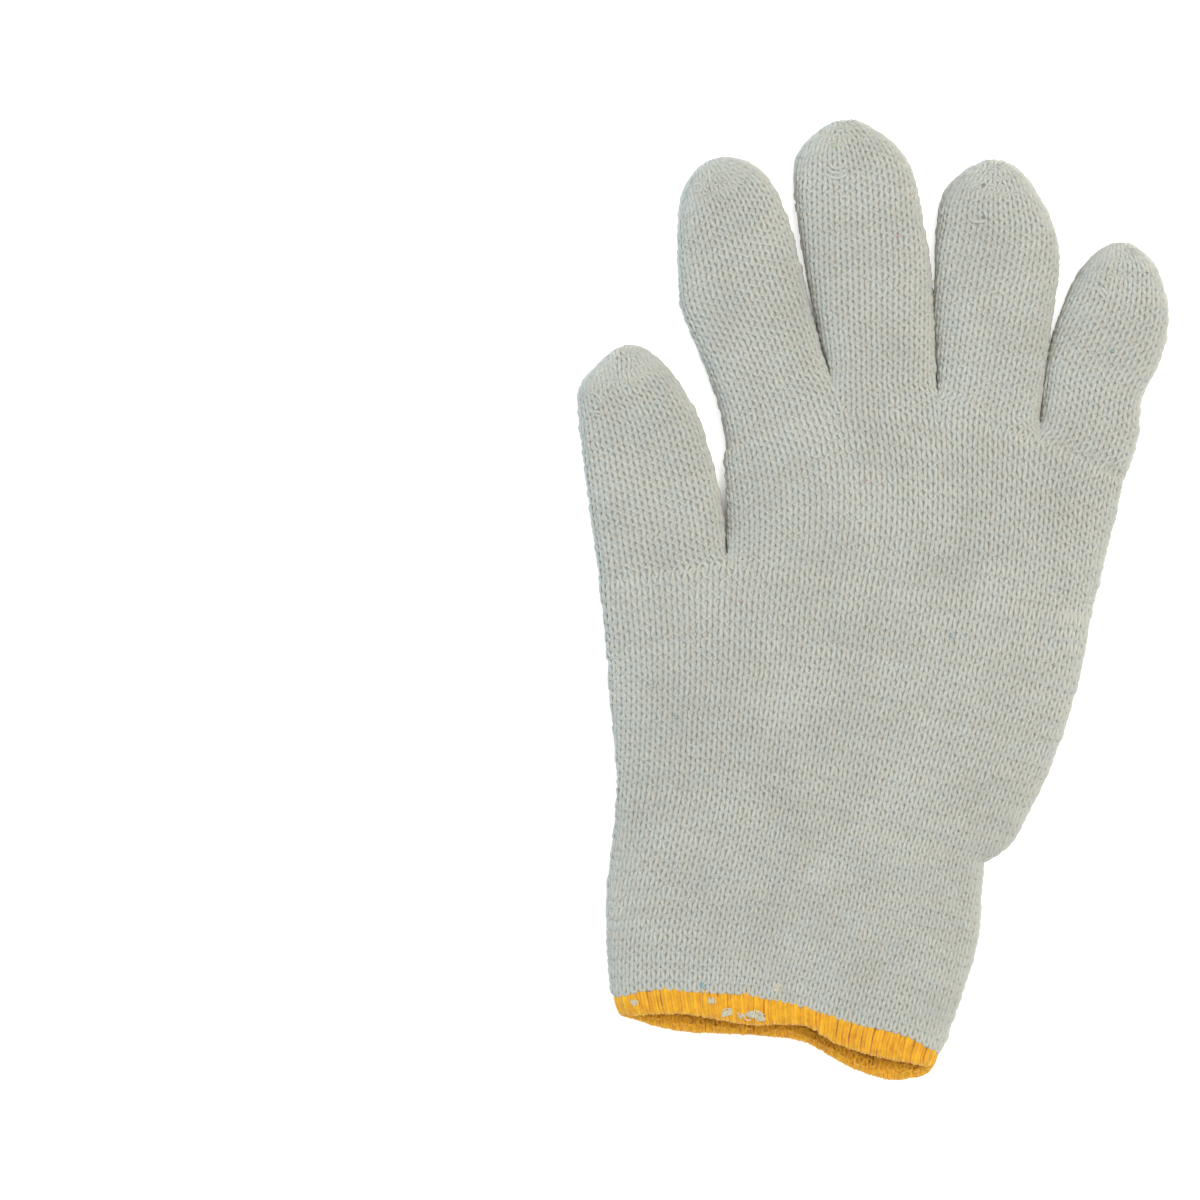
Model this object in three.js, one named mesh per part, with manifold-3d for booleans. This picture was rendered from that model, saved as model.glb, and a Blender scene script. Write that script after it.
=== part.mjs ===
// Seamless knitted cotton work glove, right hand, lying flat on a table with its back up.
// Millimetres. X runs across the glove, Y from the cuff to the fingertips, Z up.
// The origin is the middle of the footprint, on the table.
// The glove is knitted as tubes that open into each other: four fingers, the palm above the
// thumb, the thumb, the palm below it, the wrist, and a yellow overlocked edge round the mouth.
// Each tube is a loft of flat-bottomed sections with a hollow loft taken out of it.
// Its ends are cut along the lines where one tube is joined to the next.
import * as THREE from 'three';
import { mergeVertices } from 'three/addons/utils/BufferGeometryUtils.js';
import Module from 'manifold-3d';

const wasm = await Module();
wasm.setup();

// Knit and clearances
const WALL = 2.2;
const GAP = 0.3;
const LEAST_HOLLOW = 2.2;

// Heights of the lying glove above the table
const DIGIT_HEIGHT = 10.8;
const PALM_HEIGHT = 12.8;
const CUFF_HEIGHT = 11.6;

// Hand and cuff
const WRIST_WIDTH = 97.4;
const HAND_WIDTH = 128;
const LOWER_PALM_LENGTH = 58;
const HAND_SHIFT = 11.2;
const UPPER_PALM_LENGTH = 29.7;
const UPPER_PALM_LEAN_DEG = -2;
const FINGER_ROOT_WIDTH = 103.8;
const ROOT_SLOPE_DEG = 4.3;
const ROOT_BOW = 12.6;
const CUFF_LENGTH = 57.3;
const MOUTH_WIDTH = 82.7;
const MOUTH_SHIFT = -6.8;
const CUFF_SLOPE_DEG = 10.3;
const WRIST_SLOPE_DEG = 11.7;
const BAND_WIDTH = 5.8;
const THUMB_ROOT_WIDTH = 34.1;

// Digits, from their roots to their tips, and their widest places
const LITTLE_LENGTH = 58.2;
const LITTLE_WIDTH = 27.9;
const RING_LENGTH = 70.5;
const RING_WIDTH = 32.3;
const MIDDLE_LENGTH = 77.6;
const MIDDLE_WIDTH = 32.4;
const INDEX_LENGTH = 72.8;
const INDEX_WIDTH = 32.4;
const THUMB_LENGTH = 60.3;
const THUMB_WIDTH = 33.9;

// Points round a section, and how round its shoulders are
const DIGIT_SIDES = 20;
const BODY_SIDES = 36;
const SHOULDER = 0.55;
const CROWN = 0.8;
const EDGE_LEVEL = 0.42;
const FLAT_FROM = 0.7;

// How far the cutting prisms reach beside the glove, past a fingertip as a share of the
// digit's length, and past a join into the next hollow
const BESIDE = 20;
const PAST_TIP = 1.5;
const OVERRUN = 1;

// Where the digits part along the line of finger roots: along is a share of
// FINGER_ROOT_WIDTH, rise of ROOT_BOW, and slit is the lean of the slit between two digits.
const CROTCHES = [
  { along: 0, rise: 0, slit: -20 },
  { along: 0.281, rise: 1, slit: -14 },
  { along: 0.525, rise: 0.98, slit: -1.8 },
  { along: 0.774, rise: 0.68, slit: 9 },
  { along: 1, rise: 0, slit: 25 },
];
const THUMB_SLIT_DEG = -6.3;

// Sections of the lower palm, from the wrist up: along is a share of LOWER_PALM_LENGTH, swell
// goes from WRIST_WIDTH to HAND_WIDTH, shift is a share of HAND_SHIFT, slope of WRIST_SLOPE_DEG,
// bow of ROOT_BOW and height of PALM_HEIGHT.
const LOWER_PALM_ROWS = [
  { along: -0.1, swell: -0.1, shift: 0, slope: 1, bow: 0.13, height: 0.9 },
  { along: 0, swell: 0, shift: 0, slope: 1, bow: 0.13, height: 0.91 },
  { along: 0.07, swell: 0.18, shift: 0.22, slope: 1, bow: 0.18, height: 0.96 },
  { along: 0.24, swell: 0.41, shift: 0.49, slope: 0.85, bow: 0.28, height: 1 },
  { along: 0.47, swell: 0.65, shift: 0.74, slope: 0.65, bow: 0.35, height: 0.99 },
  { along: 0.71, swell: 0.83, shift: 0.92, slope: 0.52, bow: 0.37, height: 0.97 },
  { along: 1, swell: 1, shift: 1, slope: 0.34, bow: 0.5, height: 0.95 },
  { along: 1.3, swell: 1.1, shift: 1.06, slope: 0.29, bow: 0.5, height: 0.95 },
];

// Sections of the upper palm: along goes from the line between the thumb's crotch and the right
// edge of the lower palm, at 0, to the line of finger roots, at 1. bow is a share of ROOT_BOW
// and height of PALM_HEIGHT.
const UPPER_PALM_ROWS = [
  { along: -0.5, bow: 0, height: 0.96 },
  { along: 0, bow: 0.08, height: 0.96 },
  { along: 0.5, bow: 0.45, height: 0.95 },
  { along: 1, bow: 1, height: 0.9 },
  { along: 1.6, bow: 1.1, height: 0.85 },
];

// Sections of the wrist and its edge, from the wrist down: along is a share of CUFF_LENGTH,
// taper goes from WRIST_WIDTH to MOUTH_WIDTH, shift is a share of MOUTH_SHIFT, slope of
// CUFF_SLOPE_DEG, bow of BAND_WIDTH and height of CUFF_HEIGHT.
const CUFF_ROWS = [
  { along: -0.08, taper: 0, shift: 0, slope: 1.14, bow: 0.28, height: 1 },
  { along: 0.14, taper: 0.03, shift: 0.12, slope: 1.02, bow: 0.3, height: 1 },
  { along: 0.34, taper: 0, shift: 0.26, slope: 0.95, bow: 0.4, height: 0.97 },
  { along: 0.53, taper: 0.14, shift: 0.49, slope: 0.88, bow: 0.5, height: 0.95 },
  { along: 0.76, taper: 0.46, shift: 0.78, slope: 0.88, bow: 0.65, height: 0.93 },
  { along: 0.9, taper: 0.73, shift: 0.94, slope: 0.96, bow: 0.7, height: 0.95 },
  { along: 1, taper: 1, shift: 1, slope: 1, bow: 0.7, height: 1 },
  { along: 1.2, taper: 1.2, shift: 1.1, slope: 1, bow: 0.7, height: 1 },
];

// Seam between the knit and the yellow edge, left to right: across is a share of MOUTH_WIDTH
// from the mouth's left end, rise a share of BAND_WIDTH above the straight line of the mouth.
const BAND_SEAM = [
  { across: -0.2, rise: 0.95 },
  { across: 0.03, rise: 1.15 },
  { across: 0.36, rise: 1.9 },
  { across: 0.53, rise: 1.85 },
  { across: 0.94, rise: 1.55 },
  { across: 1.2, rise: 0.6 },
];

// Edges of the upper and the lower layer at the mouth, in the same shares. The lower layer
// shows past the upper one, and both swing down where the mouth gapes on the right.
const MOUTH_EDGES = [
  { across: -0.2, upper: 0.15, lower: 0 },
  { across: 0.03, upper: 0.2, lower: 0 },
  { across: 0.16, upper: 0.6, lower: 0.02 },
  { across: 0.42, upper: 0.7, lower: 0.38 },
  { across: 0.6, upper: 1.05, lower: 0.5 },
  { across: 0.68, upper: 0.6, lower: 0.05 },
  { across: 0.78, upper: 0.42, lower: -0.45 },
  { across: 0.93, upper: 0.34, lower: -0.55 },
  { across: 1.2, upper: 0.34, lower: 0.1 },
];

// Sections of a digit from its root to its tip: along is a share of its length, side and width
// are shares of its widest place, and height is a share of DIGIT_HEIGHT.
const INDEX_ROWS = [
  { along: -0.14, side: 0, width: 0.95, height: 1 },
  { along: 0.1, side: 0, width: 0.92, height: 1 },
  { along: 0.35, side: -0.05, width: 0.94, height: 1 },
  { along: 0.5, side: -0.1, width: 1, height: 1 },
  { along: 0.65, side: -0.092, width: 0.95, height: 1 },
  { along: 0.75, side: -0.086, width: 0.88, height: 0.98 },
  { along: 0.83, side: -0.078, width: 0.8, height: 0.96 },
  { along: 0.9, side: -0.078, width: 0.68, height: 0.92 },
  { along: 0.95, side: -0.08, width: 0.51, height: 0.84 },
  { along: 0.98, side: -0.08, width: 0.33, height: 0.72 },
  { along: 1, side: -0.08, width: 0.12, height: 0.45 },
];
const MIDDLE_ROWS = [
  { along: -0.14, side: 0, width: 0.76, height: 1 },
  { along: 0.1, side: 0, width: 0.82, height: 1 },
  { along: 0.2, side: 0, width: 0.89, height: 1 },
  { along: 0.35, side: 0, width: 0.96, height: 1 },
  { along: 0.5, side: 0, width: 1, height: 1 },
  { along: 0.65, side: -0.01, width: 0.99, height: 0.99 },
  { along: 0.83, side: -0.022, width: 0.93, height: 0.97 },
  { along: 0.9, side: -0.045, width: 0.78, height: 0.93 },
  { along: 0.95, side: -0.053, width: 0.53, height: 0.86 },
  { along: 0.98, side: -0.056, width: 0.32, height: 0.72 },
  { along: 1, side: -0.056, width: 0.12, height: 0.45 },
];
const RING_ROWS = [
  { along: -0.14, side: 0.01, width: 0.8, height: 1 },
  { along: 0.1, side: 0.015, width: 0.845, height: 1 },
  { along: 0.35, side: 0.033, width: 0.926, height: 1 },
  { along: 0.5, side: 0.045, width: 0.963, height: 1 },
  { along: 0.65, side: 0.062, width: 1, height: 1 },
  { along: 0.75, side: 0.06, width: 0.96, height: 0.98 },
  { along: 0.83, side: 0.032, width: 0.84, height: 0.96 },
  { along: 0.9, side: 0.016, width: 0.67, height: 0.92 },
  { along: 0.95, side: 0.014, width: 0.46, height: 0.84 },
  { along: 0.98, side: 0.011, width: 0.26, height: 0.72 },
  { along: 1, side: 0.01, width: 0.1, height: 0.45 },
];
const LITTLE_ROWS = [
  { along: -0.16, side: 0, width: 0.9, height: 1 },
  { along: 0.1, side: 0.02, width: 0.94, height: 1 },
  { along: 0.2, side: 0.025, width: 0.965, height: 1 },
  { along: 0.35, side: -0.003, width: 0.935, height: 1 },
  { along: 0.5, side: 0.05, width: 1, height: 1 },
  { along: 0.65, side: 0.095, width: 0.99, height: 0.99 },
  { along: 0.75, side: 0.1, width: 0.915, height: 0.97 },
  { along: 0.83, side: 0.09, width: 0.8, height: 0.95 },
  { along: 0.9, side: 0.085, width: 0.63, height: 0.91 },
  { along: 0.95, side: 0.07, width: 0.43, height: 0.83 },
  { along: 0.98, side: 0.064, width: 0.25, height: 0.72 },
  { along: 1, side: 0.062, width: 0.1, height: 0.45 },
];
const THUMB_ROWS = [
  { along: -0.18, side: 0.005, width: 0.99, height: 1.08 },
  { along: 0.1, side: 0.013, width: 1, height: 1.06 },
  { along: 0.35, side: 0.016, width: 0.99, height: 1.02 },
  { along: 0.5, side: 0.004, width: 0.95, height: 1 },
  { along: 0.65, side: -0.016, width: 0.904, height: 1 },
  { along: 0.75, side: -0.046, width: 0.832, height: 0.98 },
  { along: 0.83, side: -0.07, width: 0.745, height: 0.96 },
  { along: 0.9, side: -0.061, width: 0.57, height: 0.92 },
  { along: 0.95, side: -0.039, width: 0.39, height: 0.84 },
  { along: 0.98, side: -0.036, width: 0.24, height: 0.72 },
  { along: 1, side: -0.035, width: 0.1, height: 0.45 },
];

// The fingers in their order along the line of roots. Each lean is in degrees from the line of
// the hand, clockwise from above.
const FINGERS = [
  { name: 'index_finger', lean: -10.7, length: INDEX_LENGTH, width: INDEX_WIDTH, rows: INDEX_ROWS },
  { name: 'middle_finger', lean: -7.6, length: MIDDLE_LENGTH, width: MIDDLE_WIDTH, rows: MIDDLE_ROWS },
  { name: 'ring_finger', lean: 1.2, length: RING_LENGTH, width: RING_WIDTH, rows: RING_ROWS },
  { name: 'little_finger', lean: 10.6, length: LITTLE_LENGTH, width: LITTLE_WIDTH, rows: LITTLE_ROWS },
];
const THUMB_LEAN_DEG = -7.7;

// Finish of the natural cotton and of the yellow edging.
const COTTON = 0xc6c5bb;
const COTTON_ROUGHNESS = 0.95;
const EDGING = 0xefae1f;
const EDGING_ROUGHNESS = 0.85;

// A direction on the table, given as its lean from +Y in degrees, clockwise from above.
function leaning(degrees) {
  const angle = THREE.MathUtils.degToRad(degrees);
  return new THREE.Vector2(Math.sin(angle), Math.cos(angle));
}

// The point that lies so far along a direction and so far to the right of it.
function offsetPoint(from, direction, ahead, right) {
  const point = from.clone().addScaledVector(direction, ahead);
  return point.addScaledVector(new THREE.Vector2(direction.y, -direction.x), right);
}

function mix(from, to, share) {
  return from + (to - from) * share;
}

// One section of a tube, as a closed ring of points. It is flat on the table, has round
// shoulders and a low crown, and its middle runs ahead of its ends by the bow.
function sectionRing({ middle, direction, width, low, high, bow }, sides) {
  const level = mix(low, high, EDGE_LEVEL);
  const ring = [];
  for (let side = 0; side < sides; side++) {
    const angle = (2 * Math.PI * side) / sides;
    const across = Math.sign(Math.cos(angle)) * Math.abs(Math.cos(angle)) ** SHOULDER;
    const turn = Math.abs(Math.sin(angle));
    const crown = (high - level) * turn ** CROWN;
    const foot = (level - low) * Math.min(1, turn / FLAT_FROM) ** CROWN;
    const ahead = bow * (1 - across * across);
    const point = offsetPoint(middle, direction, ahead, (across * width) / 2);
    const z = Math.sin(angle) >= 0 ? level + crown : level - foot;
    ring.push(new THREE.Vector3(point.x, point.y, z));
  }
  return ring;
}

// A closed loft through rings that run toward the fingertips, with fanned ends.
function loft(rings) {
  const sides = rings[0].length;
  const positions = [];
  const triangles = [];
  for (const ring of rings) {
    ring.forEach((point) => positions.push(point.x, point.y, point.z));
  }
  for (let row = 0; row < rings.length - 1; row++) {
    for (let side = 0; side < sides; side++) {
      const near = row * sides + side;
      const next = row * sides + ((side + 1) % sides);
      triangles.push(near, near + sides, next + sides);
      triangles.push(near, next + sides, next);
    }
  }
  const ends = [
    { ring: rings[0], first: 0, forward: false },
    { ring: rings[rings.length - 1], first: (rings.length - 1) * sides, forward: true },
  ];
  for (const { ring, first, forward } of ends) {
    const centre = new THREE.Vector3();
    ring.forEach((point) => centre.addScaledVector(point, 1 / sides));
    const hub = positions.length / 3;
    positions.push(centre.x, centre.y, centre.z);
    for (let side = 0; side < sides; side++) {
      const near = first + side;
      const next = first + ((side + 1) % sides);
      triangles.push(hub, forward ? next : near, forward ? near : next);
    }
  }
  const geometry = new THREE.BufferGeometry();
  geometry.setAttribute('position', new THREE.Float32BufferAttribute(positions, 3));
  geometry.setIndex(triangles);
  return geometry;
}

function toSolid(geometry) {
  const bare = geometry.clone();
  bare.deleteAttribute('normal');
  bare.deleteAttribute('uv');
  const merged = mergeVertices(bare, 1e-5);
  return new wasm.Manifold(new wasm.Mesh({
    numProp: 3,
    vertProperties: new Float32Array(merged.attributes.position.array),
    triVerts: new Uint32Array(merged.index.array),
  }));
}

function toMesh(name, solid, colour, roughness) {
  const { vertProperties, triVerts } = solid.getMesh();
  const geometry = new THREE.BufferGeometry();
  geometry.setAttribute('position', new THREE.BufferAttribute(vertProperties, 3));
  geometry.setIndex(new THREE.BufferAttribute(triVerts, 1));
  geometry.computeVertexNormals();
  const material = new THREE.MeshStandardMaterial({ color: colour, roughness, metalness: 0 });
  const mesh = new THREE.Mesh(geometry, material);
  mesh.name = name;
  return mesh;
}

// A prism over an outline on the table, between two heights.
function prism(points, low, high) {
  const shape = new THREE.Shape(points);
  const geometry = new THREE.ExtrudeGeometry(shape, { depth: high - low, bevelEnabled: false });
  geometry.translate(0, 0, low);
  return toSolid(geometry);
}

// Moves each edge of an outline, listed counterclockwise, into it by that edge's own inset.
function insetOutline(points, insets) {
  const lines = points.map((point, index) => {
    const end = points[(index + 1) % points.length];
    const along = end.clone().sub(point).normalize();
    const inward = new THREE.Vector2(-along.y, along.x);
    return { start: point.clone().addScaledVector(inward, insets[index]), along };
  });
  return lines.map((line, index) => {
    const before = lines[(index + lines.length - 1) % lines.length];
    const between = line.start.clone().sub(before.start);
    const share = between.cross(line.along) / before.along.cross(line.along);
    return before.start.clone().addScaledVector(before.along, share);
  });
}

// The space that one tube may fill. Joins are edges to the next tube along the yarn, where the
// hollow runs through. Slits are edges to a neighbour, where both keep a whole wall.
function territory(corners) {
  const points = corners.map(({ point }) => point);
  const outer = corners.map(() => GAP / 2);
  const inner = corners.map(({ edge }) => (edge === 'slit' ? GAP / 2 + WALL : -OVERRUN));
  return {
    outer: prism(insetOutline(points, outer), -PALM_HEIGHT, 2 * PALM_HEIGHT),
    inner: prism(insetOutline(points, inner), -PALM_HEIGHT, 2 * PALM_HEIGHT),
  };
}

// A knitted tube: the outer loft less the hollow one, both kept to the tube's own space.
function knittedTube(outerRings, innerRings, space) {
  const outer = toSolid(loft(outerRings)).intersect(space.outer);
  const inner = toSolid(loft(innerRings)).intersect(space.inner);
  return outer.subtract(inner);
}

// Both sets of rings of a body section, wall inset included.
function bodyRings(sections) {
  const outer = sections.map((section) => sectionRing({ ...section, low: 0 }, BODY_SIDES));
  const inner = sections.map((section) => sectionRing({
    ...section,
    width: section.width - 2 * WALL,
    low: WALL,
    high: section.high - WALL,
  }, BODY_SIDES));
  return { outer, inner };
}

// Landmarks, worked out from the middle of the wrist
const HAND_AXIS = leaning(0);
const WRIST = new THREE.Vector2(0, 0);
const WRIST_DIRECTION = leaning(WRIST_SLOPE_DEG);
const WRIST_LEFT = offsetPoint(WRIST, WRIST_DIRECTION, 0, -WRIST_WIDTH / 2);
const WRIST_RIGHT = offsetPoint(WRIST, WRIST_DIRECTION, 0, WRIST_WIDTH / 2);
const LOWER_TOP = offsetPoint(WRIST, HAND_AXIS, LOWER_PALM_LENGTH, HAND_SHIFT);
const LOWER_TOP_ROW = LOWER_PALM_ROWS.find(({ along }) => along === 1);
const LOWER_TOP_DIRECTION = leaning(LOWER_TOP_ROW.slope * WRIST_SLOPE_DEG);
const THUMB_LEFT = offsetPoint(LOWER_TOP, LOWER_TOP_DIRECTION, 0, -HAND_WIDTH / 2);
const THUMB_CROTCH = offsetPoint(THUMB_LEFT, leaning(THUMB_LEAN_DEG), 0, THUMB_ROOT_WIDTH);
const PALM_RIGHT = offsetPoint(LOWER_TOP, LOWER_TOP_DIRECTION, 0, HAND_WIDTH / 2);
const ROOT_LEFT = offsetPoint(THUMB_CROTCH, leaning(UPPER_PALM_LEAN_DEG), UPPER_PALM_LENGTH, 0);
const ROOT_DIRECTION = leaning(ROOT_SLOPE_DEG);
const ROOT_POINTS = CROTCHES.map(({ along, rise }) => offsetPoint(
  ROOT_LEFT, ROOT_DIRECTION, rise * ROOT_BOW, along * FINGER_ROOT_WIDTH,
));

// The lower palm, which holds the ball of the thumb
function lowerPalm() {
  const sections = LOWER_PALM_ROWS.map((row) => ({
    middle: offsetPoint(WRIST, HAND_AXIS, row.along * LOWER_PALM_LENGTH, row.shift * HAND_SHIFT),
    direction: leaning(row.slope * WRIST_SLOPE_DEG),
    width: mix(WRIST_WIDTH, HAND_WIDTH, row.swell),
    high: row.height * PALM_HEIGHT,
    bow: row.bow * ROOT_BOW,
  }));
  const rings = bodyRings(sections);
  return knittedTube(rings.outer, rings.inner, territory([
    { point: offsetPoint(WRIST_LEFT, WRIST_DIRECTION, 0, -BESIDE), edge: 'join' },
    { point: offsetPoint(WRIST_RIGHT, WRIST_DIRECTION, 0, BESIDE), edge: 'free' },
    { point: offsetPoint(PALM_RIGHT, leaning(ROOT_SLOPE_DEG * 2), 0, BESIDE), edge: 'join' },
    { point: THUMB_CROTCH, edge: 'join' },
    { point: offsetPoint(THUMB_LEFT, leaning(THUMB_LEAN_DEG), 0, -BESIDE), edge: 'free' },
  ]));
}

// The upper palm, which holds the four knuckles
function upperPalm() {
  const [rootLeft, rootRight] = [ROOT_POINTS[0], ROOT_POINTS[ROOT_POINTS.length - 1]];
  const sections = UPPER_PALM_ROWS.map((row) => {
    const left = THUMB_CROTCH.clone().lerp(rootLeft, row.along);
    const right = PALM_RIGHT.clone().lerp(rootRight, row.along);
    const across = right.clone().sub(left);
    return {
      middle: left.clone().lerp(right, 0.5),
      direction: new THREE.Vector2(-across.y, across.x).normalize(),
      width: across.length(),
      high: row.height * PALM_HEIGHT,
      bow: row.bow * ROOT_BOW,
    };
  });
  const rings = bodyRings(sections);
  const [indexSide, ...knuckles] = ROOT_POINTS;
  const littleSide = knuckles.pop();
  return knittedTube(rings.outer, rings.inner, territory([
    { point: THUMB_CROTCH, edge: 'join' },
    { point: offsetPoint(PALM_RIGHT, leaning(ROOT_SLOPE_DEG * 2), 0, BESIDE), edge: 'free' },
    { point: offsetPoint(littleSide, ROOT_DIRECTION, 0, BESIDE), edge: 'join' },
    { point: littleSide, edge: 'join' },
    ...knuckles.reverse().map((point) => ({ point, edge: 'join' })),
    { point: indexSide, edge: 'join' },
    { point: offsetPoint(indexSide, ROOT_DIRECTION, 0, -WALL), edge: 'slit' },
  ]));
}

// A digit: a tube with a round closed tip, kept between the slits on its two sides
function digit({ root, lean, length, width, rows, corners }) {
  const direction = leaning(lean);
  const outer = rows.map((row) => sectionRing({
    middle: offsetPoint(root, direction, row.along * length, row.side * width),
    direction,
    width: row.width * width,
    low: (DIGIT_HEIGHT * (1 - Math.min(1, row.height))) / 2,
    high: (DIGIT_HEIGHT * (row.height > 1 ? 2 * row.height : 1 + row.height)) / 2,
    bow: 0,
  }, DIGIT_SIDES));
  const hollowRows = rows.filter((row) => row.height * DIGIT_HEIGHT > 2 * WALL + LEAST_HOLLOW);
  const inner = hollowRows.map((row) => sectionRing({
    middle: offsetPoint(root, direction, row.along * (length - WALL), row.side * width),
    direction,
    width: Math.max(row.width * width - 2 * WALL, WALL),
    low: (DIGIT_HEIGHT * (1 - Math.min(1, row.height))) / 2 + WALL,
    high: (DIGIT_HEIGHT * (row.height > 1 ? 2 * row.height : 1 + row.height)) / 2 - WALL,
    bow: 0,
  }, DIGIT_SIDES));
  return knittedTube(outer, inner, territory(corners));
}

// A finger stands on the line of roots between two crotches.
function finger(place, { lean, length, width, rows }) {
  const left = ROOT_POINTS[place];
  const right = ROOT_POINTS[place + 1];
  const leftSlit = offsetPoint(left, leaning(CROTCHES[place].slit), length * PAST_TIP, 0);
  const rightSlit = offsetPoint(right, leaning(CROTCHES[place + 1].slit), length * PAST_TIP, 0);
  return digit({
    root: left.clone().lerp(right, 0.5),
    lean,
    length,
    width,
    rows,
    corners: [
      { point: left, edge: 'join' },
      { point: right, edge: 'slit' },
      { point: rightSlit, edge: 'free' },
      { point: leftSlit, edge: 'slit' },
    ],
  });
}

function thumb() {
  const bend = offsetPoint(THUMB_CROTCH, leaning(THUMB_SLIT_DEG), UPPER_PALM_LENGTH, 0);
  return digit({
    root: THUMB_LEFT.clone().lerp(THUMB_CROTCH, 0.5),
    lean: THUMB_LEAN_DEG,
    length: THUMB_LENGTH,
    width: THUMB_WIDTH,
    rows: THUMB_ROWS,
    corners: [
      { point: offsetPoint(THUMB_LEFT, leaning(THUMB_LEAN_DEG), 0, -BESIDE), edge: 'join' },
      { point: THUMB_CROTCH, edge: 'slit' },
      { point: bend, edge: 'slit' },
      { point: offsetPoint(bend, leaning(CROTCHES[0].slit), THUMB_LENGTH * PAST_TIP, 0), edge: 'free' },
    ],
  });
}

// Points on a line across the cuff, left to right, placed from the straight line of the mouth
function mouthLine(rows, column) {
  const middle = offsetPoint(WRIST, HAND_AXIS, -CUFF_LENGTH, MOUTH_SHIFT);
  return rows.map((row) => offsetPoint(
    middle, leaning(CUFF_SLOPE_DEG), row[column] * BAND_WIDTH, (row.across - 0.5) * MOUTH_WIDTH,
  ));
}

function cuffRings() {
  const sections = CUFF_ROWS.map((row) => ({
    middle: offsetPoint(WRIST, HAND_AXIS, -row.along * CUFF_LENGTH, row.shift * MOUTH_SHIFT),
    direction: leaning(row.slope * CUFF_SLOPE_DEG),
    width: mix(WRIST_WIDTH, MOUTH_WIDTH, row.taper),
    high: row.height * CUFF_HEIGHT,
    bow: row.bow * BAND_WIDTH,
  })).reverse();
  return bodyRings(sections);
}

// The knitted wrist, from the wrist line to the yellow edge
function wristCuff() {
  const rings = cuffRings();
  const seam = mouthLine(BAND_SEAM, 'rise');
  return knittedTube(rings.outer, rings.inner, territory([
    ...seam.map((point) => ({ point, edge: 'join' })),
    { point: offsetPoint(WRIST_RIGHT, WRIST_DIRECTION, 0, BESIDE), edge: 'join' },
    { point: offsetPoint(WRIST_LEFT, WRIST_DIRECTION, 0, -BESIDE), edge: 'free' },
  ]));
}

// The yellow edge: a band that follows the seam above and each layer's own edge below
function cuffEdging() {
  const rings = cuffRings();
  const seam = mouthLine(BAND_SEAM, 'rise').reverse();
  const [lowerEdge, upperEdge] = ['lower', 'upper'].map((layer) => mouthLine(MOUTH_EDGES, layer));
  const band = knittedTube(rings.outer, rings.inner, territory([
    ...lowerEdge.map((point) => ({ point, edge: 'join' })),
    ...seam.map((point) => ({ point, edge: 'join' })),
  ]));
  const beyond = lowerEdge.map((point) => offsetPoint(point, HAND_AXIS, -2 * BAND_WIDTH, 0));
  const middleLevel = CUFF_HEIGHT * EDGE_LEVEL;
  const overhang = prism([...beyond, ...upperEdge.reverse()], middleLevel, 2 * PALM_HEIGHT);
  return band.subtract(overhang);
}

const glove = new THREE.Group();
FINGERS.forEach((entry, place) => {
  glove.add(toMesh(entry.name, finger(place, entry), COTTON, COTTON_ROUGHNESS));
});
glove.add(toMesh('upper_palm', upperPalm(), COTTON, COTTON_ROUGHNESS));
glove.add(toMesh('thumb', thumb(), COTTON, COTTON_ROUGHNESS));
glove.add(toMesh('lower_palm', lowerPalm(), COTTON, COTTON_ROUGHNESS));
glove.add(toMesh('wrist_cuff', wristCuff(), COTTON, COTTON_ROUGHNESS));
glove.add(toMesh('cuff_edging', cuffEdging(), EDGING, EDGING_ROUGHNESS));

// The footprint's middle becomes the origin.
const footprint = new THREE.Box3().setFromObject(glove).getCenter(new THREE.Vector3());
glove.position.set(-footprint.x, -footprint.y, 0);

export default glove;
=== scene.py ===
# Seamless knitted cotton work glove, lying flat with its back up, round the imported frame.
# Sizes are in millimetres until a mesh is made. The tables are those of the solids, apart from
# the two that place the yellow edge, which follow the photo more closely.
import math

import bpy
import numpy as np
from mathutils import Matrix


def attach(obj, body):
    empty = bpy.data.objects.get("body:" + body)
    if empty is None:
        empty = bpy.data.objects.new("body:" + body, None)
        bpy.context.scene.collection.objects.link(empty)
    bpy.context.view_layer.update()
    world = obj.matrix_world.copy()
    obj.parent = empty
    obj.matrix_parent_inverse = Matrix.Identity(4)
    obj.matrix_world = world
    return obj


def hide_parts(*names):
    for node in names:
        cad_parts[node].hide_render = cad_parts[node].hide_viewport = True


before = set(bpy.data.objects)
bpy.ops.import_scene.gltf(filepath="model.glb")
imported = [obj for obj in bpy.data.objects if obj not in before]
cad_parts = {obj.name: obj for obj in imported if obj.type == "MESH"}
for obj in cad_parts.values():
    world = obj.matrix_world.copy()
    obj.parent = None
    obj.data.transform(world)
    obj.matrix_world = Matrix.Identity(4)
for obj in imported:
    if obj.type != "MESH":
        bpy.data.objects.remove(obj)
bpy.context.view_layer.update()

MM = 0.001
rng = np.random.default_rng(7)

# Sizes of the glove, as in the solids
DIGIT_HEIGHT = 10.8
PALM_HEIGHT = 12.8
CUFF_HEIGHT = 11.6
WRIST_WIDTH = 97.4
HAND_WIDTH = 128.0
LOWER_PALM_LENGTH = 58.0
HAND_SHIFT = 11.2
UPPER_PALM_LENGTH = 29.7
UPPER_PALM_LEAN = -2.0
FINGER_ROOT_WIDTH = 103.8
ROOT_SLOPE = 4.3
ROOT_BOW = 12.6
CUFF_LENGTH = 57.3
MOUTH_WIDTH = 82.7
MOUTH_SHIFT = -6.8
CUFF_SLOPE = 10.3
WRIST_SLOPE = 11.7
BAND_WIDTH = 5.8
THUMB_ROOT_WIDTH = 34.1
THUMB_LEAN = -7.7

# The middle of the wrist from the middle of the footprint
WRIST = np.array([-19.1, -58.1])

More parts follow.
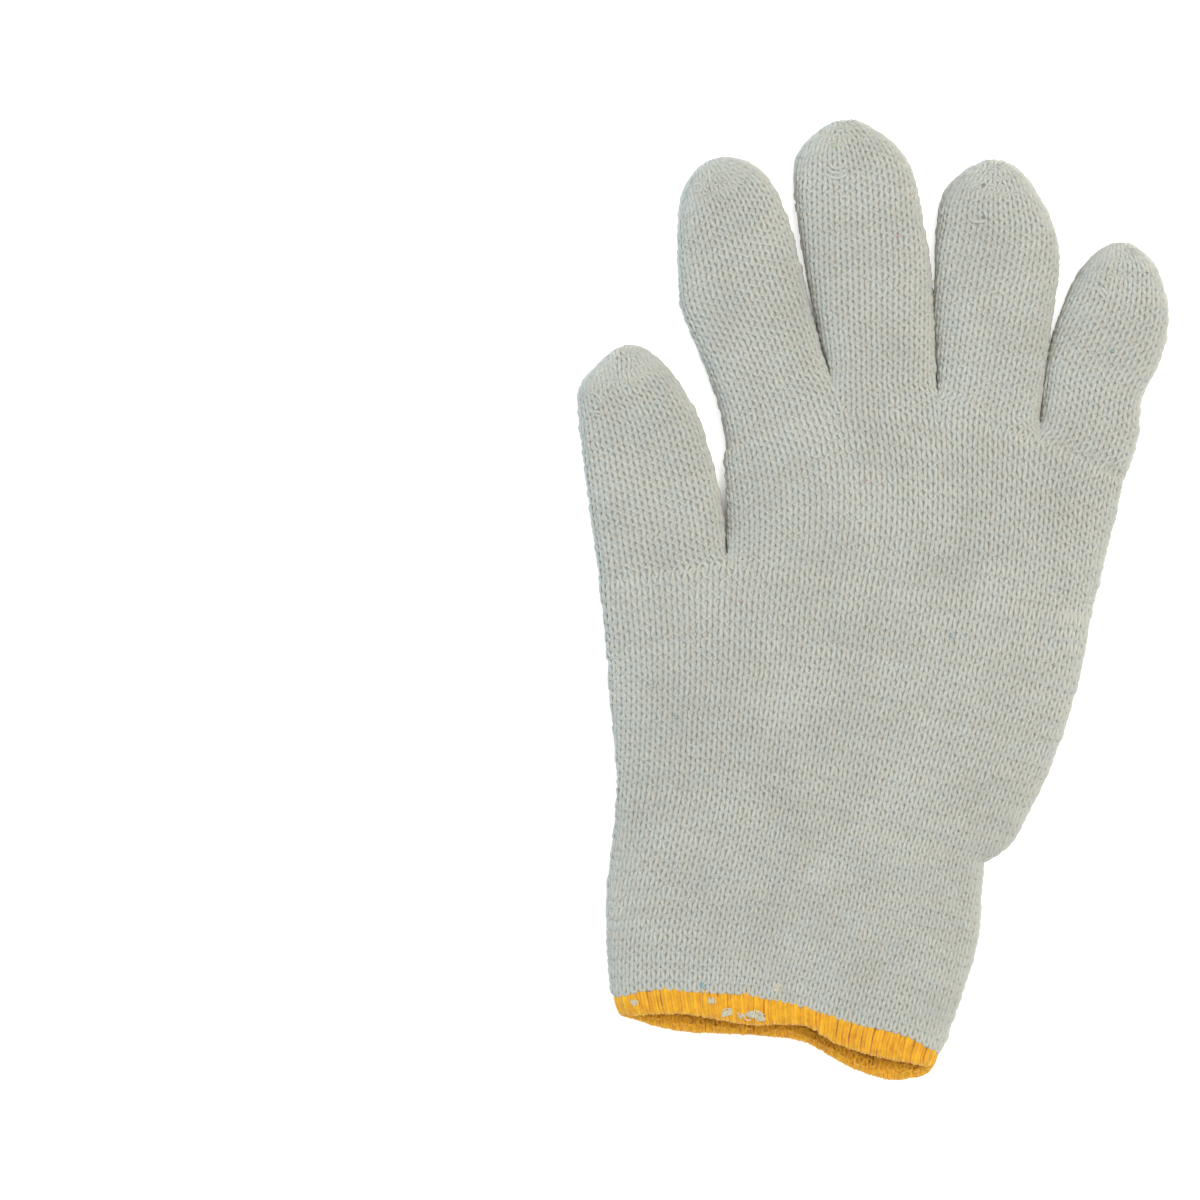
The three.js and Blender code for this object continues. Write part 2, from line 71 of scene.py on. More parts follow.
# How round a section is
SHOULDER = 0.55
CROWN = 0.8
EDGE_LEVEL = 0.42
FLAT_FROM = 0.7

# Crotches along the line of finger roots: along, rise
CROTCHES = np.array([
    (0.0, 0.0),
    (0.281, 1.0),
    (0.525, 0.98),
    (0.774, 0.68),
    (1.0, 0.0),
])

# Sections of the lower palm: along, swell, shift, slope, bow, height
LOWER_PALM_ROWS = np.array([
    (0.0, 0.0, 0.0, 1.0, 0.13, 0.91),
    (0.07, 0.18, 0.22, 1.0, 0.18, 0.96),
    (0.24, 0.41, 0.49, 0.85, 0.28, 1.0),
    (0.47, 0.65, 0.74, 0.65, 0.35, 0.99),
    (0.71, 0.83, 0.92, 0.52, 0.37, 0.97),
    (1.0, 1.0, 1.0, 0.34, 0.0, 0.95),
])

# Sections of the upper palm: along, bow, height
UPPER_PALM_ROWS = np.array([
    (0.0, 0.0, 0.95),
    (0.5, 0.1, 0.95),
    (1.0, 0.0, 0.9),
])

# Sections of the cuff from the wrist down: along, taper, shift, slope, bow, height
CUFF_ROWS = np.array([
    (-0.03, 0.0, 0.0, 1.14, 0.28, 1.0),
    (0.14, 0.03, 0.12, 1.02, 0.3, 1.0),
    (0.34, 0.0, 0.26, 0.95, 0.4, 0.97),
    (0.53, 0.14, 0.49, 0.88, 0.5, 0.95),
    (0.76, 0.46, 0.78, 0.88, 0.65, 0.93),
    (0.9, 0.73, 0.94, 0.96, 0.7, 0.95),
    (1.0, 1.0, 1.0, 1.0, 0.7, 1.0),
    (1.1, 1.2, 1.1, 1.0, 0.7, 1.0),
])

# Seam of the yellow edge: across, rise
BAND_SEAM = np.array([
    (-0.2, 1.1),
    (0.0, 1.1),
    (0.06, 1.5),
    (0.25, 1.94),
    (0.36, 2.15),
    (0.53, 2.13),
    (0.7, 1.83),
    (0.94, 1.47),
    (1.0, 1.15),
    (1.2, 0.6),
])

# Edges of the two layers at the mouth: across, upper, lower
MOUTH_EDGES = np.array([
    (-0.2, 0.15, 0.0),
    (0.03, 0.2, 0.0),
    (0.16, 0.66, -0.2),
    (0.42, 0.8, 0.18),
    (0.6, 1.18, 0.32),
    (0.68, 0.7, -0.1),
    (0.78, 0.45, -0.55),
    (0.9, 0.36, -0.62),
    (0.97, 0.34, -0.25),
    (1.2, 0.34, 0.6),
])

# Sections of each digit: along, side, width, height
DIGIT_ROWS = {
    "index_finger": [
        (0.0, 0.0, 0.95, 1.0), (0.1, 0.0, 0.92, 1.0), (0.35, -0.05, 0.94, 1.0),
        (0.5, -0.1, 1.0, 1.0), (0.65, -0.092, 0.95, 1.0), (0.75, -0.086, 0.88, 0.98),
        (0.83, -0.078, 0.8, 0.96), (0.9, -0.078, 0.68, 0.92), (0.95, -0.08, 0.51, 0.84),
        (0.98, -0.08, 0.33, 0.72), (1.0, -0.08, 0.0, 0.3),
    ],
    "middle_finger": [
        (0.0, 0.0, 0.76, 1.0), (0.1, 0.0, 0.82, 1.0), (0.2, 0.0, 0.89, 1.0),
        (0.35, 0.0, 0.96, 1.0), (0.5, 0.0, 1.0, 1.0), (0.65, -0.01, 0.99, 0.99),
        (0.83, -0.022, 0.93, 0.97), (0.9, -0.045, 0.78, 0.93), (0.95, -0.053, 0.53, 0.86),
        (0.98, -0.056, 0.32, 0.72), (1.0, -0.056, 0.0, 0.3),
    ],
    "ring_finger": [
        (0.0, 0.01, 0.8, 1.0), (0.1, 0.015, 0.845, 1.0), (0.35, 0.033, 0.926, 1.0),
        (0.5, 0.045, 0.963, 1.0), (0.65, 0.062, 1.0, 1.0), (0.75, 0.06, 0.96, 0.98),
        (0.83, 0.032, 0.84, 0.96), (0.9, 0.016, 0.67, 0.92), (0.95, 0.014, 0.46, 0.84),
        (0.98, 0.011, 0.26, 0.72), (1.0, 0.01, 0.0, 0.3),
    ],
    "little_finger": [
        (0.0, 0.0, 0.9, 1.0), (0.1, 0.02, 0.94, 1.0), (0.2, 0.025, 0.965, 1.0),
        (0.35, -0.003, 0.935, 1.0), (0.5, 0.05, 1.0, 1.0), (0.65, 0.095, 0.99, 0.99),
        (0.75, 0.1, 0.915, 0.97), (0.83, 0.09, 0.8, 0.95), (0.9, 0.085, 0.63, 0.91),
        (0.95, 0.07, 0.43, 0.83), (0.98, 0.064, 0.25, 0.72), (1.0, 0.062, 0.0, 0.3),
    ],
    "thumb": [
        (0.0, 0.005, 0.99, 1.08), (0.1, 0.013, 1.0, 1.06), (0.35, 0.016, 0.99, 1.02),
        (0.5, 0.004, 0.95, 1.0), (0.65, -0.016, 0.904, 1.0), (0.75, -0.046, 0.832, 0.98),
        (0.83, -0.07, 0.745, 0.96), (0.9, -0.061, 0.57, 0.92), (0.95, -0.039, 0.39, 0.84),
        (0.98, -0.036, 0.24, 0.72), (1.0, -0.035, 0.0, 0.3),
    ],
}

# Each digit's length, width and lean, the wales round it, how far its wales lean off its axis,
# the height of its courses, the two ends of the line that closes it, back from the tip along its
# ridge and to the right of its axis, and how far up from the root its left and its right seam
# with a neighbour are closed.
DIGITS = {
    "index_finger": dict(
        length=72.8, width=32.4, lean=-10.7, wales=26, skew=-5.0, course=2.12,
        closure=((3.0, -9.0), (2.0, 2.0)), closed=(0.0, 12.2),
    ),
    "middle_finger": dict(
        length=77.6, width=32.4, lean=-7.6, wales=26, skew=9.0, course=2.05,
        closure=((3.0, -8.0), (2.0, 5.0)), closed=(12.2, 8.8),
    ),
    "ring_finger": dict(
        length=70.5, width=32.3, lean=1.2, wales=26, skew=10.0, course=2.13,
        closure=((3.0, -7.0), (3.0, 5.0)), closed=(8.8, 3.6),
    ),
    "little_finger": dict(
        length=58.2, width=27.9, lean=10.6, wales=24, skew=8.0, course=2.3,
        closure=((3.0, -7.0), (3.0, 3.0)), closed=(3.6, 0.0),
    ),
    "thumb": dict(
        length=60.3, width=33.9, lean=-7.7, wales=26, skew=0.0, course=2.12,
        closure=((3.0, -8.0), (3.0, 3.0)), closed=(0.0, 2.6),
    ),
}
FINGER_NAMES = ["index_finger", "middle_finger", "ring_finger", "little_finger"]

# Wales left out on the two sides of each crotch
CROTCH_DROPS = [(1, 2), (2, 1), (1, 2)]
THUMB_CROTCH_DROPS = (1, 1)

# The knit: its courses, its yarn, and its loops, which stand out more where the surface is steep
COURSE_HEIGHT = {"upper_palm": 2.33, "lower_palm": 2.52, "wrist_cuff": 2.4}
YARN_RADIUS = 0.62
YARN_UNEVENNESS = 0.07
YARN_SIDES = 5
LOOP_SWAY = 0.235
LOOP_RISE = 0.76
LOOP_DEPTH = 0.06
FLANK_DEPTH = 0.3
FLANK_STEEPNESS = 1.6
END_SINK = 0.7
DRIFT = 0.035
RISE_JITTER = 0.03
DEPTH_JITTER = 0.05
FLANK_JITTER = 0.09
FRONT_STEPS = 9
BACK_STEPS = 6


def leaning(degrees):
    """A direction on the table, from its lean off +Y, clockwise from above."""
    angle = math.radians(degrees)
    return np.array([math.sin(angle), math.cos(angle)])


def beside(direction):
    return np.array([direction[1], -direction[0]])


def offset_point(start, direction, ahead, right):
    return start + ahead * direction + right * beside(direction)


def lean_of(direction):
    return math.degrees(math.atan2(direction[0], direction[1]))


def through_rows(keys, values, at):
    """A smooth curve through rows of a table, carried on straight past its ends."""
    keys = np.asarray(keys, float)
    values = np.asarray(values, float)
    at = np.asarray(at, float)
    slopes = np.gradient(values, keys)
    low = np.clip(np.searchsorted(keys, at) - 1, 0, len(keys) - 2)
    span = keys[low + 1] - keys[low]
    share = np.clip((at - keys[low]) / span, 0, 1)
    past = at - np.clip(at, keys[0], keys[-1])
    h10 = share * (1 - share) ** 2
    h01 = share ** 2 * (3 - 2 * share)
    h11 = share ** 2 * (share - 1)
    inside = values[low] * (1 - h01) + values[low + 1] * h01
    inside = inside + span * (slopes[low] * h10 + slopes[low + 1] * h11)
    return inside + past * np.where(past > 0, slopes[-1], slopes[0])


def fade(share):
    """1 at 0, falling smoothly to 0 at 1."""
    share = np.clip(share, 0, 1)
    return 1 - share ** 2 * (3 - 2 * share)


def table_at(table, at):
    """The columns of a table after its first, as smooth curves over its first."""
    return [through_rows(table[:, 0], column, at) for column in table.T[1:]]


def unit(vectors):
    return vectors / np.maximum(np.linalg.norm(vectors, axis=-1, keepdims=True), 1e-9)


def run_along(points):
    """The distance along a line of points to each of them."""
    return np.concatenate([[0], np.cumsum(np.linalg.norm(np.diff(points, axis=0), axis=1))])


def sampled(grid, row, column):
    """Values of a grid between its rows and between its columns, which close round."""
    row = np.clip(row, 0, len(grid) - 1.001)
    r0 = np.floor(row).astype(int)
    c0 = np.floor(column).astype(int) % grid.shape[1]
    c1 = (c0 + 1) % grid.shape[1]
    fr = (row - r0)[:, None]
    fc = (column - np.floor(column))[:, None]
    lower = grid[r0, c0] * (1 - fc) + grid[r0, c1] * fc
    upper = grid[r0 + 1, c0] * (1 - fc) + grid[r0 + 1, c1] * fc
    return lower * (1 - fr) + upper * fr


def between_rows(grid, row):
    """Values of each column of a grid at its own place between the rows."""
    low = np.clip(np.floor(row).astype(int), 0, len(grid) - 2)
    column = np.arange(grid.shape[1])
    part = (row - low).reshape([-1] + [1] * (grid.ndim - 2))
    return grid[low, column] * (1 - part) + grid[low + 1, column] * part


# Landmarks on the table
LOWER_TOP = WRIST + np.array([HAND_SHIFT, LOWER_PALM_LENGTH])
LOWER_TOP_DIRECTION = leaning(LOWER_PALM_ROWS[-1, 3] * WRIST_SLOPE)
THUMB_LEFT = offset_point(LOWER_TOP, LOWER_TOP_DIRECTION, 0, -HAND_WIDTH / 2)
THUMB_CROTCH = offset_point(THUMB_LEFT, leaning(THUMB_LEAN), 0, THUMB_ROOT_WIDTH)
PALM_RIGHT = offset_point(LOWER_TOP, LOWER_TOP_DIRECTION, 0, HAND_WIDTH / 2)
ROOT_LEFT = offset_point(THUMB_CROTCH, leaning(UPPER_PALM_LEAN), UPPER_PALM_LENGTH, 0)
ROOT_DIRECTION = leaning(ROOT_SLOPE)
ROOT_RIGHT = offset_point(ROOT_LEFT, ROOT_DIRECTION, 0, FINGER_ROOT_WIDTH)
THUMB_SHARE = float(np.dot(THUMB_CROTCH - THUMB_LEFT, beside(LOWER_TOP_DIRECTION))) / HAND_WIDTH
THUMB_RISE = float(np.dot(THUMB_CROTCH - THUMB_LEFT, LOWER_TOP_DIRECTION))


def root_rise(along):
    """How far the line of finger roots runs ahead of its chord, in millimetres."""
    return ROOT_BOW * through_rows(CROTCHES[:, 0], CROTCHES[:, 1], along)


def thumb_line_rise(along):
    """The same for the line that ends the lower palm, which peaks at the thumb's crotch."""
    peak = np.where(along < THUMB_SHARE, along / THUMB_SHARE, (1 - along) / (1 - THUMB_SHARE))
    return THUMB_RISE * np.maximum(peak, 0)


# Sections

ANGLES = np.linspace(0, 2 * math.pi, 241)
HALF_RING = len(ANGLES) // 2
UPPER_HALF = np.sin(ANGLES) >= -1e-9


def section_shape(high, low=0.0):
    """Places across, from -1 to 1, and heights round a section, from the left over the top."""
    cosine = np.cos(ANGLES)
    turn = np.abs(np.sin(ANGLES))
    across = -np.sign(cosine) * np.abs(cosine) ** SHOULDER
    level = low + (high - low) * EDGE_LEVEL
    crown = level + (high - level) * turn ** CROWN
    foot = level - (level - low) * np.minimum(1, turn / FLAT_FROM) ** CROWN
    return across, np.where(UPPER_HALF, crown, foot), level


def top_height(across, high, low=0.0):
    """Height of a section's upper side at a place across it."""
    level = low + (high - low) * EDGE_LEVEL
    rise = np.clip(1 - np.abs(across) ** (2 / SHOULDER), 0, 1) ** (CROWN / 2)
    return level + (high - level) * rise


class Ring:
    """One section of a tube as a dense closed line, which wales are spread along."""

    def __init__(self, points, share, spread=None):
        self.points = points
        self.share = share
        self.run = run_along(points if spread is None else spread)
        self.length = self.run[-1]

    def at(self, fractions):
        distance = np.mod(fractions, 1) * self.length
        return np.column_stack([np.interp(distance, self.run, self.points[:, k]) for k in range(3)])

    def shares(self, fractions):
        return np.interp(np.mod(fractions, 1) * self.length, self.run, self.share)

    def fraction_at(self, share, below=False):
        """Where round the ring its upper or its lower side passes a share of the way across."""
        side = slice(None, HALF_RING - 1, -1) if below else slice(HALF_RING + 1)
        return np.interp(share, self.share[side], self.run[side]) / self.length


def section_ring(left, right, ahead, high, low=0.0, parent=None, merge=None):
    """A ring between two points, whose heights go over to those of a parent where merge is 1.

    Wales are spread as on the section by itself, so they run straight into the parent.
    """
    across, heights, level = section_shape(high, low)
    chord = right - left
    normal = np.array([-chord[1], chord[0]]) / np.linalg.norm(chord)
    share = (across + 1) / 2
    plan = left + share[:, None] * chord
    spread = np.column_stack([plan, heights])
    if parent is not None:
        amount = merge(share)
        foot = np.clip((heights - low) / (level - low), 0, 1)
        goal = np.where(UPPER_HALF, parent(share), parent(share) * foot ** 3)
        heights = heights * (1 - amount) + goal * amount
    plan = plan + ahead(share)[:, None] * normal
    return Ring(np.column_stack([plan, heights]), share, spread)


class Fabric:
    """A knitted surface: a grid of points by course and by wale, closed round the wales."""

    def __init__(self, points, first_course, last_course, wales):
        self.points = points
        self.first = first_course
        self.last = last_course
        self.wales = wales
        around = np.roll(points, -1, axis=1) - np.roll(points, 1, axis=1)
        self.normals = unit(np.cross(around, np.gradient(points, axis=0)))

    def sample(self, wale, course):
        """Points and normals at places by wale and by course."""
        rows, columns, _ = self.points.shape
        row = (course - self.first) / (self.last - self.first) * (rows - 1)
        column = np.mod(wale / self.wales, 1) * columns
        return sampled(self.points, row, column), unit(sampled(self.normals, row, column))


GRID_PER_COURSE = 3
GRID_PER_WALE = 8


def even_values(ring_at, shares):
    """The values at which rings lie evenly along the middle of the upper side."""
    values = np.linspace(-0.1, 1.1, 61)
    run = run_along(np.array([ring_at(value).points[HALF_RING // 2] for value in values]))
    start, end = np.interp([0.0, 1.0], values, run)
    return np.interp(start + shares * (end - start), run, values)


def fabric_between(ring_at, courses, wales, places_at):
    """Fabric through ring_at(0) to ring_at(1), with wale places round each ring."""
    rows = (courses + 2) * GRID_PER_COURSE + 1
    course = np.linspace(-1, courses + 1, rows)
    wale = np.arange(wales * GRID_PER_WALE) / GRID_PER_WALE
    points = []
    for value in even_values(ring_at, course / courses):
        places = np.interp(wale, np.arange(wales + 1), places_at(value))
        points.append(ring_at(value).at(places))
    return Fabric(np.array(points), -1, courses + 1, wales)


def even(wales):
    return np.arange(wales + 1) / wales


# The five tubes of the digits

def root_frame(name):
    """The two ends of a digit's root, and what it grows from there."""
    if name == "thumb":
        return THUMB_LEFT, THUMB_CROTCH, 0.0, THUMB_SHARE
    place = FINGER_NAMES.index(name)
    ends = []
    for along, rise in CROTCHES[place:place + 2]:
        ends.append(offset_point(ROOT_LEFT, ROOT_DIRECTION, rise * ROOT_BOW, along * FINGER_ROOT_WIDTH))
    return ends[0], ends[1], CROTCHES[place, 0], CROTCHES[place + 1, 0]


MERGE_LENGTH = 11.0
TURN_LENGTH = 28.0
SKEW_FADE = 22.0
SLIT = 0.3
THINNEST = 0.02

# The left flanks bulge this far past the solids, less where a digit is narrower than BULGE_WIDTH.
LEFT_BULGE = 0.6
BULGE_WIDTH = 8.0
BULGE_FADE = 26.0

# A digit reaches this far towards its neighbour where the seam between them is closed.
CLOSING_WIDTH = 1.1
CLOSED_SHARE = 0.6


def closing(distance, reach):
    """How far the seam with a neighbour is closed, 1 at the root and 0 past its end."""
    if reach == 0:
        return 0.0
    return float(fade((distance - CLOSED_SHARE * reach) / ((1 - CLOSED_SHARE) * reach)))


def digit_ring(name, along):
    """The section of a digit at a share of its length."""
    size = DIGITS[name]
    rows = np.array(DIGIT_ROWS[name])[::-1]
    left, right, share_low, share_high = root_frame(name)
    chord = right - left
    root_normal = np.array([-chord[1], chord[0]])
    distance = along * size["length"]
    keys = np.sqrt(1 - rows[:, 0])
    to_tip = math.sqrt(max(1 - along, 0))
    side, width, height = (float(through_rows(keys, rows[:, k], to_tip)) for k in (1, 2, 3))
    width = max(width * size["width"] - SLIT, THINNEST)
    root = (left + right) / 2
    middle = offset_point(root, leaning(size["lean"]), distance, side * size["width"])
    near_tip = fade((1 - along) * size["length"] / SKEW_FADE)
    skewed = size["lean"] + size["skew"] * (1 - near_tip)
    direction = leaning(skewed + (lean_of(root_normal) - skewed) * fade(distance / TURN_LENGTH))
    left_closed, right_closed = (closing(distance, reach) for reach in size["closed"])
    bulge = LEFT_BULGE * min(1, width / BULGE_WIDTH) * (1 - fade(distance / BULGE_FADE))
    left_end = middle - (width / 2 + bulge + CLOSING_WIDTH * left_closed) * beside(direction)
    right_end = middle + (width / 2 + CLOSING_WIDTH * right_closed) * beside(direction)
    high = DIGIT_HEIGHT * (height if height > 1 else (1 + height) / 2)
    low = DIGIT_HEIGHT * (1 - min(1, height)) / 2
    left_merge, right_merge = (fade(distance / (1.5 * reach + 3)) for reach in size["closed"])
    middle_merge = fade(distance / MERGE_LENGTH)

    def merge(share):
        return np.interp(share, [0, 0.5, 1], [left_merge, middle_merge, right_merge])

    def ahead(share):
        if name == "thumb":
            return np.zeros_like(share)
        place = share_low + share * (share_high - share_low)
        line = ROOT_LEFT + np.outer(place * FINGER_ROOT_WIDTH, beside(ROOT_DIRECTION))
        line = line + np.outer(root_rise(place), ROOT_DIRECTION)
        normal = root_normal / np.linalg.norm(root_normal)
        return (line - left - np.outer(share, chord)) @ normal * middle_merge

    def parent(share):
        place = share_low + share * (share_high - share_low)
        palm = LOWER_PALM_ROWS if name == "thumb" else UPPER_PALM_ROWS
        return top_height(2 * place - 1, PALM_HEIGHT * palm[-1, -1])

    return section_ring(left_end, right_end, ahead, high, low, parent, merge)


# A digit's surface is spread out from its tip, by the distance and by the angle round it. Its
# courses lie on that, with their wales evened out along them by COURSE_EVENING, from 0 to 1.
EVEN_ROWS = 240
EVEN_COLUMNS = 256
COURSE_EVENING = 0.85
STATIONS = np.concatenate([[-0.06, -0.03], 1 - np.linspace(1, 0, 70) ** 2])
ROOT_STATION = 2
GIRTH_STATIONS = slice(5, 30)
TWIST_SHARE = 0.8


def evened_course(line, anchor):
    """A closed course with its points spread more evenly along it, the anchor kept in place."""
    closed = np.concatenate([line, line[:1]])
    run = run_along(closed)
    even_run = run[anchor] + (np.arange(len(line)) - anchor) / len(line) * run[-1]
    reach = np.mod(run[:-1] + COURSE_EVENING * (even_run - run[:-1]), run[-1])
    return np.column_stack([np.interp(reach, run, closed[:, k]) for k in range(3)])


def surface_from_tip(rings):
    """A digit's surface with rows at even shares of the way from its tip, and its ridge's length."""
    base = np.array([ring.at(np.arange(EVEN_COLUMNS) / EVEN_COLUMNS) for ring in rings])
    steps = np.linalg.norm(np.diff(base, axis=0), axis=2)
    from_tip = np.concatenate([np.cumsum(steps[::-1], axis=0)[::-1], np.zeros((1, EVEN_COLUMNS))])
    lengths = from_tip[ROOT_STATION]
    shares = np.arange(EVEN_ROWS + EVEN_ROWS // 16) / EVEN_ROWS
    surface = np.empty((len(shares), EVEN_COLUMNS, 3))
    for column, length in enumerate(lengths):
        way = from_tip[::-1, column]
        for k in range(3):
            surface[:, column, k] = np.interp(shares * length, way, base[::-1, column, k])
    return surface, lengths[EVEN_COLUMNS // 4]


def digit_fabric(name):
    """Fabric of a digit, whose courses shrink round a closure that lies on its upper side."""
    size = DIGITS[name]
    wales = size["wales"]
    rings = [digit_ring(name, along) for along in STATIONS]
    surface, length = surface_from_tip(rings)
    ends = np.array([(-right, back) for back, right in size["closure"]]) / length
    closure_middle = ends.mean(axis=0)
    closure_half = (ends[1] - ends[0]) / 2
    closure_way = closure_half / np.linalg.norm(closure_half)
    back_mean = np.mean([back for back, _ in size["closure"]])
    courses = int(round((length - 0.5 * back_mean) / size["course"]))
    perimeter = np.mean([ring.length for ring in rings[GIRTH_STATIONS]])
    places = np.arange(wales * GRID_PER_WALE) / (wales * GRID_PER_WALE)
    points = []
    for course in np.linspace(-1, courses, (courses + 1) * GRID_PER_COURSE + 1):
        radius = 1 - course / courses
        travelled = max(course, 0) / courses * length
        twist = math.tan(math.radians(size["skew"])) * travelled * TWIST_SHARE / perimeter
        turn = 2 * math.pi * (places + twist)
        rim = np.column_stack([np.cos(turn), np.sin(turn)])
        along_line = np.arcsin(np.clip(rim @ closure_way, -1, 1)) * 2 / math.pi
        goal = closure_middle + np.outer(along_line, closure_half)
        spot = radius * rim + (1 - radius) * goal
        reach = np.hypot(spot[:, 0], spot[:, 1])
        around = np.mod(np.arctan2(spot[:, 1], spot[:, 0]) / (2 * math.pi), 1)
        line = sampled(surface, reach * EVEN_ROWS, around * EVEN_COLUMNS)
        points.append(evened_course(line, wales * GRID_PER_WALE // 4))
    fabric = Fabric(np.array(points), -1, courses, wales)
    # Where the courses close to a line the grid has no normals of its own.
    fabric.normals[-GRID_PER_COURSE:] = fabric.normals[-GRID_PER_COURSE - 1]
    return fabric, courses


# The palm and the cuff

def bowed(share, height):
    """A low arch across a section, level at its ends."""
    return height * 4 * share * (1 - share)


def upper_palm_ring(value):
    left = THUMB_CROTCH + value * (ROOT_LEFT - THUMB_CROTCH)
    right = PALM_RIGHT + value * (ROOT_RIGHT - PALM_RIGHT)
    bow, height = table_at(UPPER_PALM_ROWS, value)
    amount = fade(value * UPPER_PALM_LENGTH / MERGE_LENGTH)

    def ahead(share):
        return max(value, 0) * root_rise(share) + bowed(share, bow * ROOT_BOW)

    def parent(share):
        place = THUMB_SHARE + share * (1 - THUMB_SHARE)
        return top_height(2 * place - 1, PALM_HEIGHT * LOWER_PALM_ROWS[-1, -1])

    def merge(share):
        return amount * np.ones_like(share)

    return section_ring(left, right, ahead, height * PALM_HEIGHT, 0.0, parent, merge)


def lower_palm_ring(value):
    swell, shift, slope, bow, height = table_at(LOWER_PALM_ROWS, value)
    middle = WRIST + np.array([shift * HAND_SHIFT, value * LOWER_PALM_LENGTH])
    width = WRIST_WIDTH + swell * (HAND_WIDTH - WRIST_WIDTH)
    half = width / 2 * beside(leaning(slope * WRIST_SLOPE))

    def ahead(share):
        return np.clip(value, 0, 1) ** 2 * thumb_line_rise(share) + bowed(share, bow * ROOT_BOW)

    return section_ring(middle - half, middle + half, ahead, height * PALM_HEIGHT)


def cuff_section(value):
    taper, shift, slope, bow, height = table_at(CUFF_ROWS, value)
    middle = WRIST + np.array([shift * MOUTH_SHIFT, -value * CUFF_LENGTH])
    width = WRIST_WIDTH + taper * (MOUTH_WIDTH - WRIST_WIDTH)
    half = width / 2 * beside(leaning(slope * CUFF_SLOPE))

    def ahead(share):
        return bowed(share, bow * BAND_WIDTH)

    return section_ring(middle - half, middle + half, ahead, height * CUFF_HEIGHT)


# The cuff's surface by the share of its length and by the angle round its section, and the row
# from which its crossings with the lines of the yellow edge are looked for
CUFF_VALUES = np.linspace(-0.1, 1.25, 136)
CUFF_SURFACE = np.array([cuff_section(value).points for value in CUFF_VALUES])
CUFF_SHARE = cuff_section(0.5).share
CROSSING_ROW = 60
MOUTH_MIDDLE = WRIST + np.array([MOUTH_SHIFT, -CUFF_LENGTH])
MOUTH_DIRECTION = leaning(CUFF_SLOPE)
LAYER_BLEND = 0.6


def cuff_ring(values):
    """A ring round the cuff whose place along it may differ from angle to angle."""
    row = np.interp(values, CUFF_VALUES, np.arange(len(CUFF_VALUES)))
    return Ring(between_rows(CUFF_SURFACE, row), CUFF_SHARE)


def cuff_crossing(line):
    """Where along the cuff each angle meets a line that is placed from the mouth."""
    offset = CUFF_SURFACE[..., :2] - MOUTH_MIDDLE
    rise = offset @ MOUTH_DIRECTION / BAND_WIDTH
    across = offset @ beside(MOUTH_DIRECTION) / MOUTH_WIDTH + 0.5
    beyond = (line(across) - rise)[CROSSING_ROW:]
    values = CUFF_VALUES[CROSSING_ROW:]
    return np.array([np.interp(0, beyond[:, k], values) for k in range(len(ANGLES))])


def band_seam_line(across):
    return table_at(BAND_SEAM, across)[0]


def mouth_edge_line(across):
    upper, lower = table_at(MOUTH_EDGES, across)
    weight = 1 - fade(0.5 + np.sin(ANGLES) / LAYER_BLEND)
    return lower + (upper - lower) * weight


SEAM_VALUES = cuff_crossing(band_seam_line)
MOUTH_VALUES = cuff_crossing(mouth_edge_line)


def cuff_ring_up(value):
    return cuff_ring((1 - value) * SEAM_VALUES)


def band_ring(value):
    return cuff_ring(SEAM_VALUES + value * (MOUTH_VALUES - SEAM_VALUES))


EDGE_MARGIN = 1e-3
JOIN_EVENINGS = 10


def side_shares(ring, places):
    """Shares across a tube of the wales on its upper side and on its lower side."""
    fractions = np.mod(places[:-1], 1)
    top = fractions[(fractions > EDGE_MARGIN) & (fractions < 0.5 - EDGE_MARGIN)]
    below = fractions[(fractions > 0.5 + EDGE_MARGIN) & (fractions < 1 - EDGE_MARGIN)]
    return np.sort(ring.shares(top)), np.sort(ring.shares(below))


def joined_places(children, drops, ring):
    """Wale places round a ring that carry on the wales of the tubes which grow from it.

    children holds, for each tube, the shares of the ring where it starts and ends and the shares
    of its own wales on both sides; drops says how many wales end on each side of a crotch.
    """
    fractions = []
    for side in (0, 1):
        kept = [0.0]
        for place, (start, end, shares) in enumerate(children):
            first = drops[place - 1][1] if place > 0 else 0
            last = drops[place][0] if place < len(drops) else 0
            own = shares[side][first:len(shares[side]) - last]
            kept.extend(start + own * (end - start))
        kept.append(1.0)
        kept = np.array(kept)
        for _ in range(JOIN_EVENINGS):
            kept[1:-1] += 0.5 * ((kept[2:] + kept[:-2]) / 2 - kept[1:-1])
        fractions.append(ring.fraction_at(kept, below=side == 1))
    top, below = fractions
    return np.concatenate([top, below[::-1][1:]])


# How much of the bow of the finger roots the upper palm's courses fill, how far the lower palm's
# go past its length under the thumb, and what share of the cuff lies above the yellow edge
ROOT_BOW_SHARE = 0.75
THUMB_RISE_MEAN = 4.6
CUFF_SHARE_KNITTED = 0.88

digit_fabrics = {name: digit_fabric(name) for name in DIGITS}

finger_children = []
for digit_name in FINGER_NAMES:
    _, _, low_share, high_share = root_frame(digit_name)
    shares = side_shares(digit_ring(digit_name, 0.0), even(DIGITS[digit_name]["wales"]))
    finger_children.append((low_share, high_share, shares))
upper_top = joined_places(finger_children, CROTCH_DROPS, upper_palm_ring(1.0))
UPPER_WALES = len(upper_top) - 1
UPPER_LENGTH = UPPER_PALM_LENGTH + ROOT_BOW * ROOT_BOW_SHARE
UPPER_COURSES = int(round(UPPER_LENGTH / COURSE_HEIGHT["upper_palm"]))


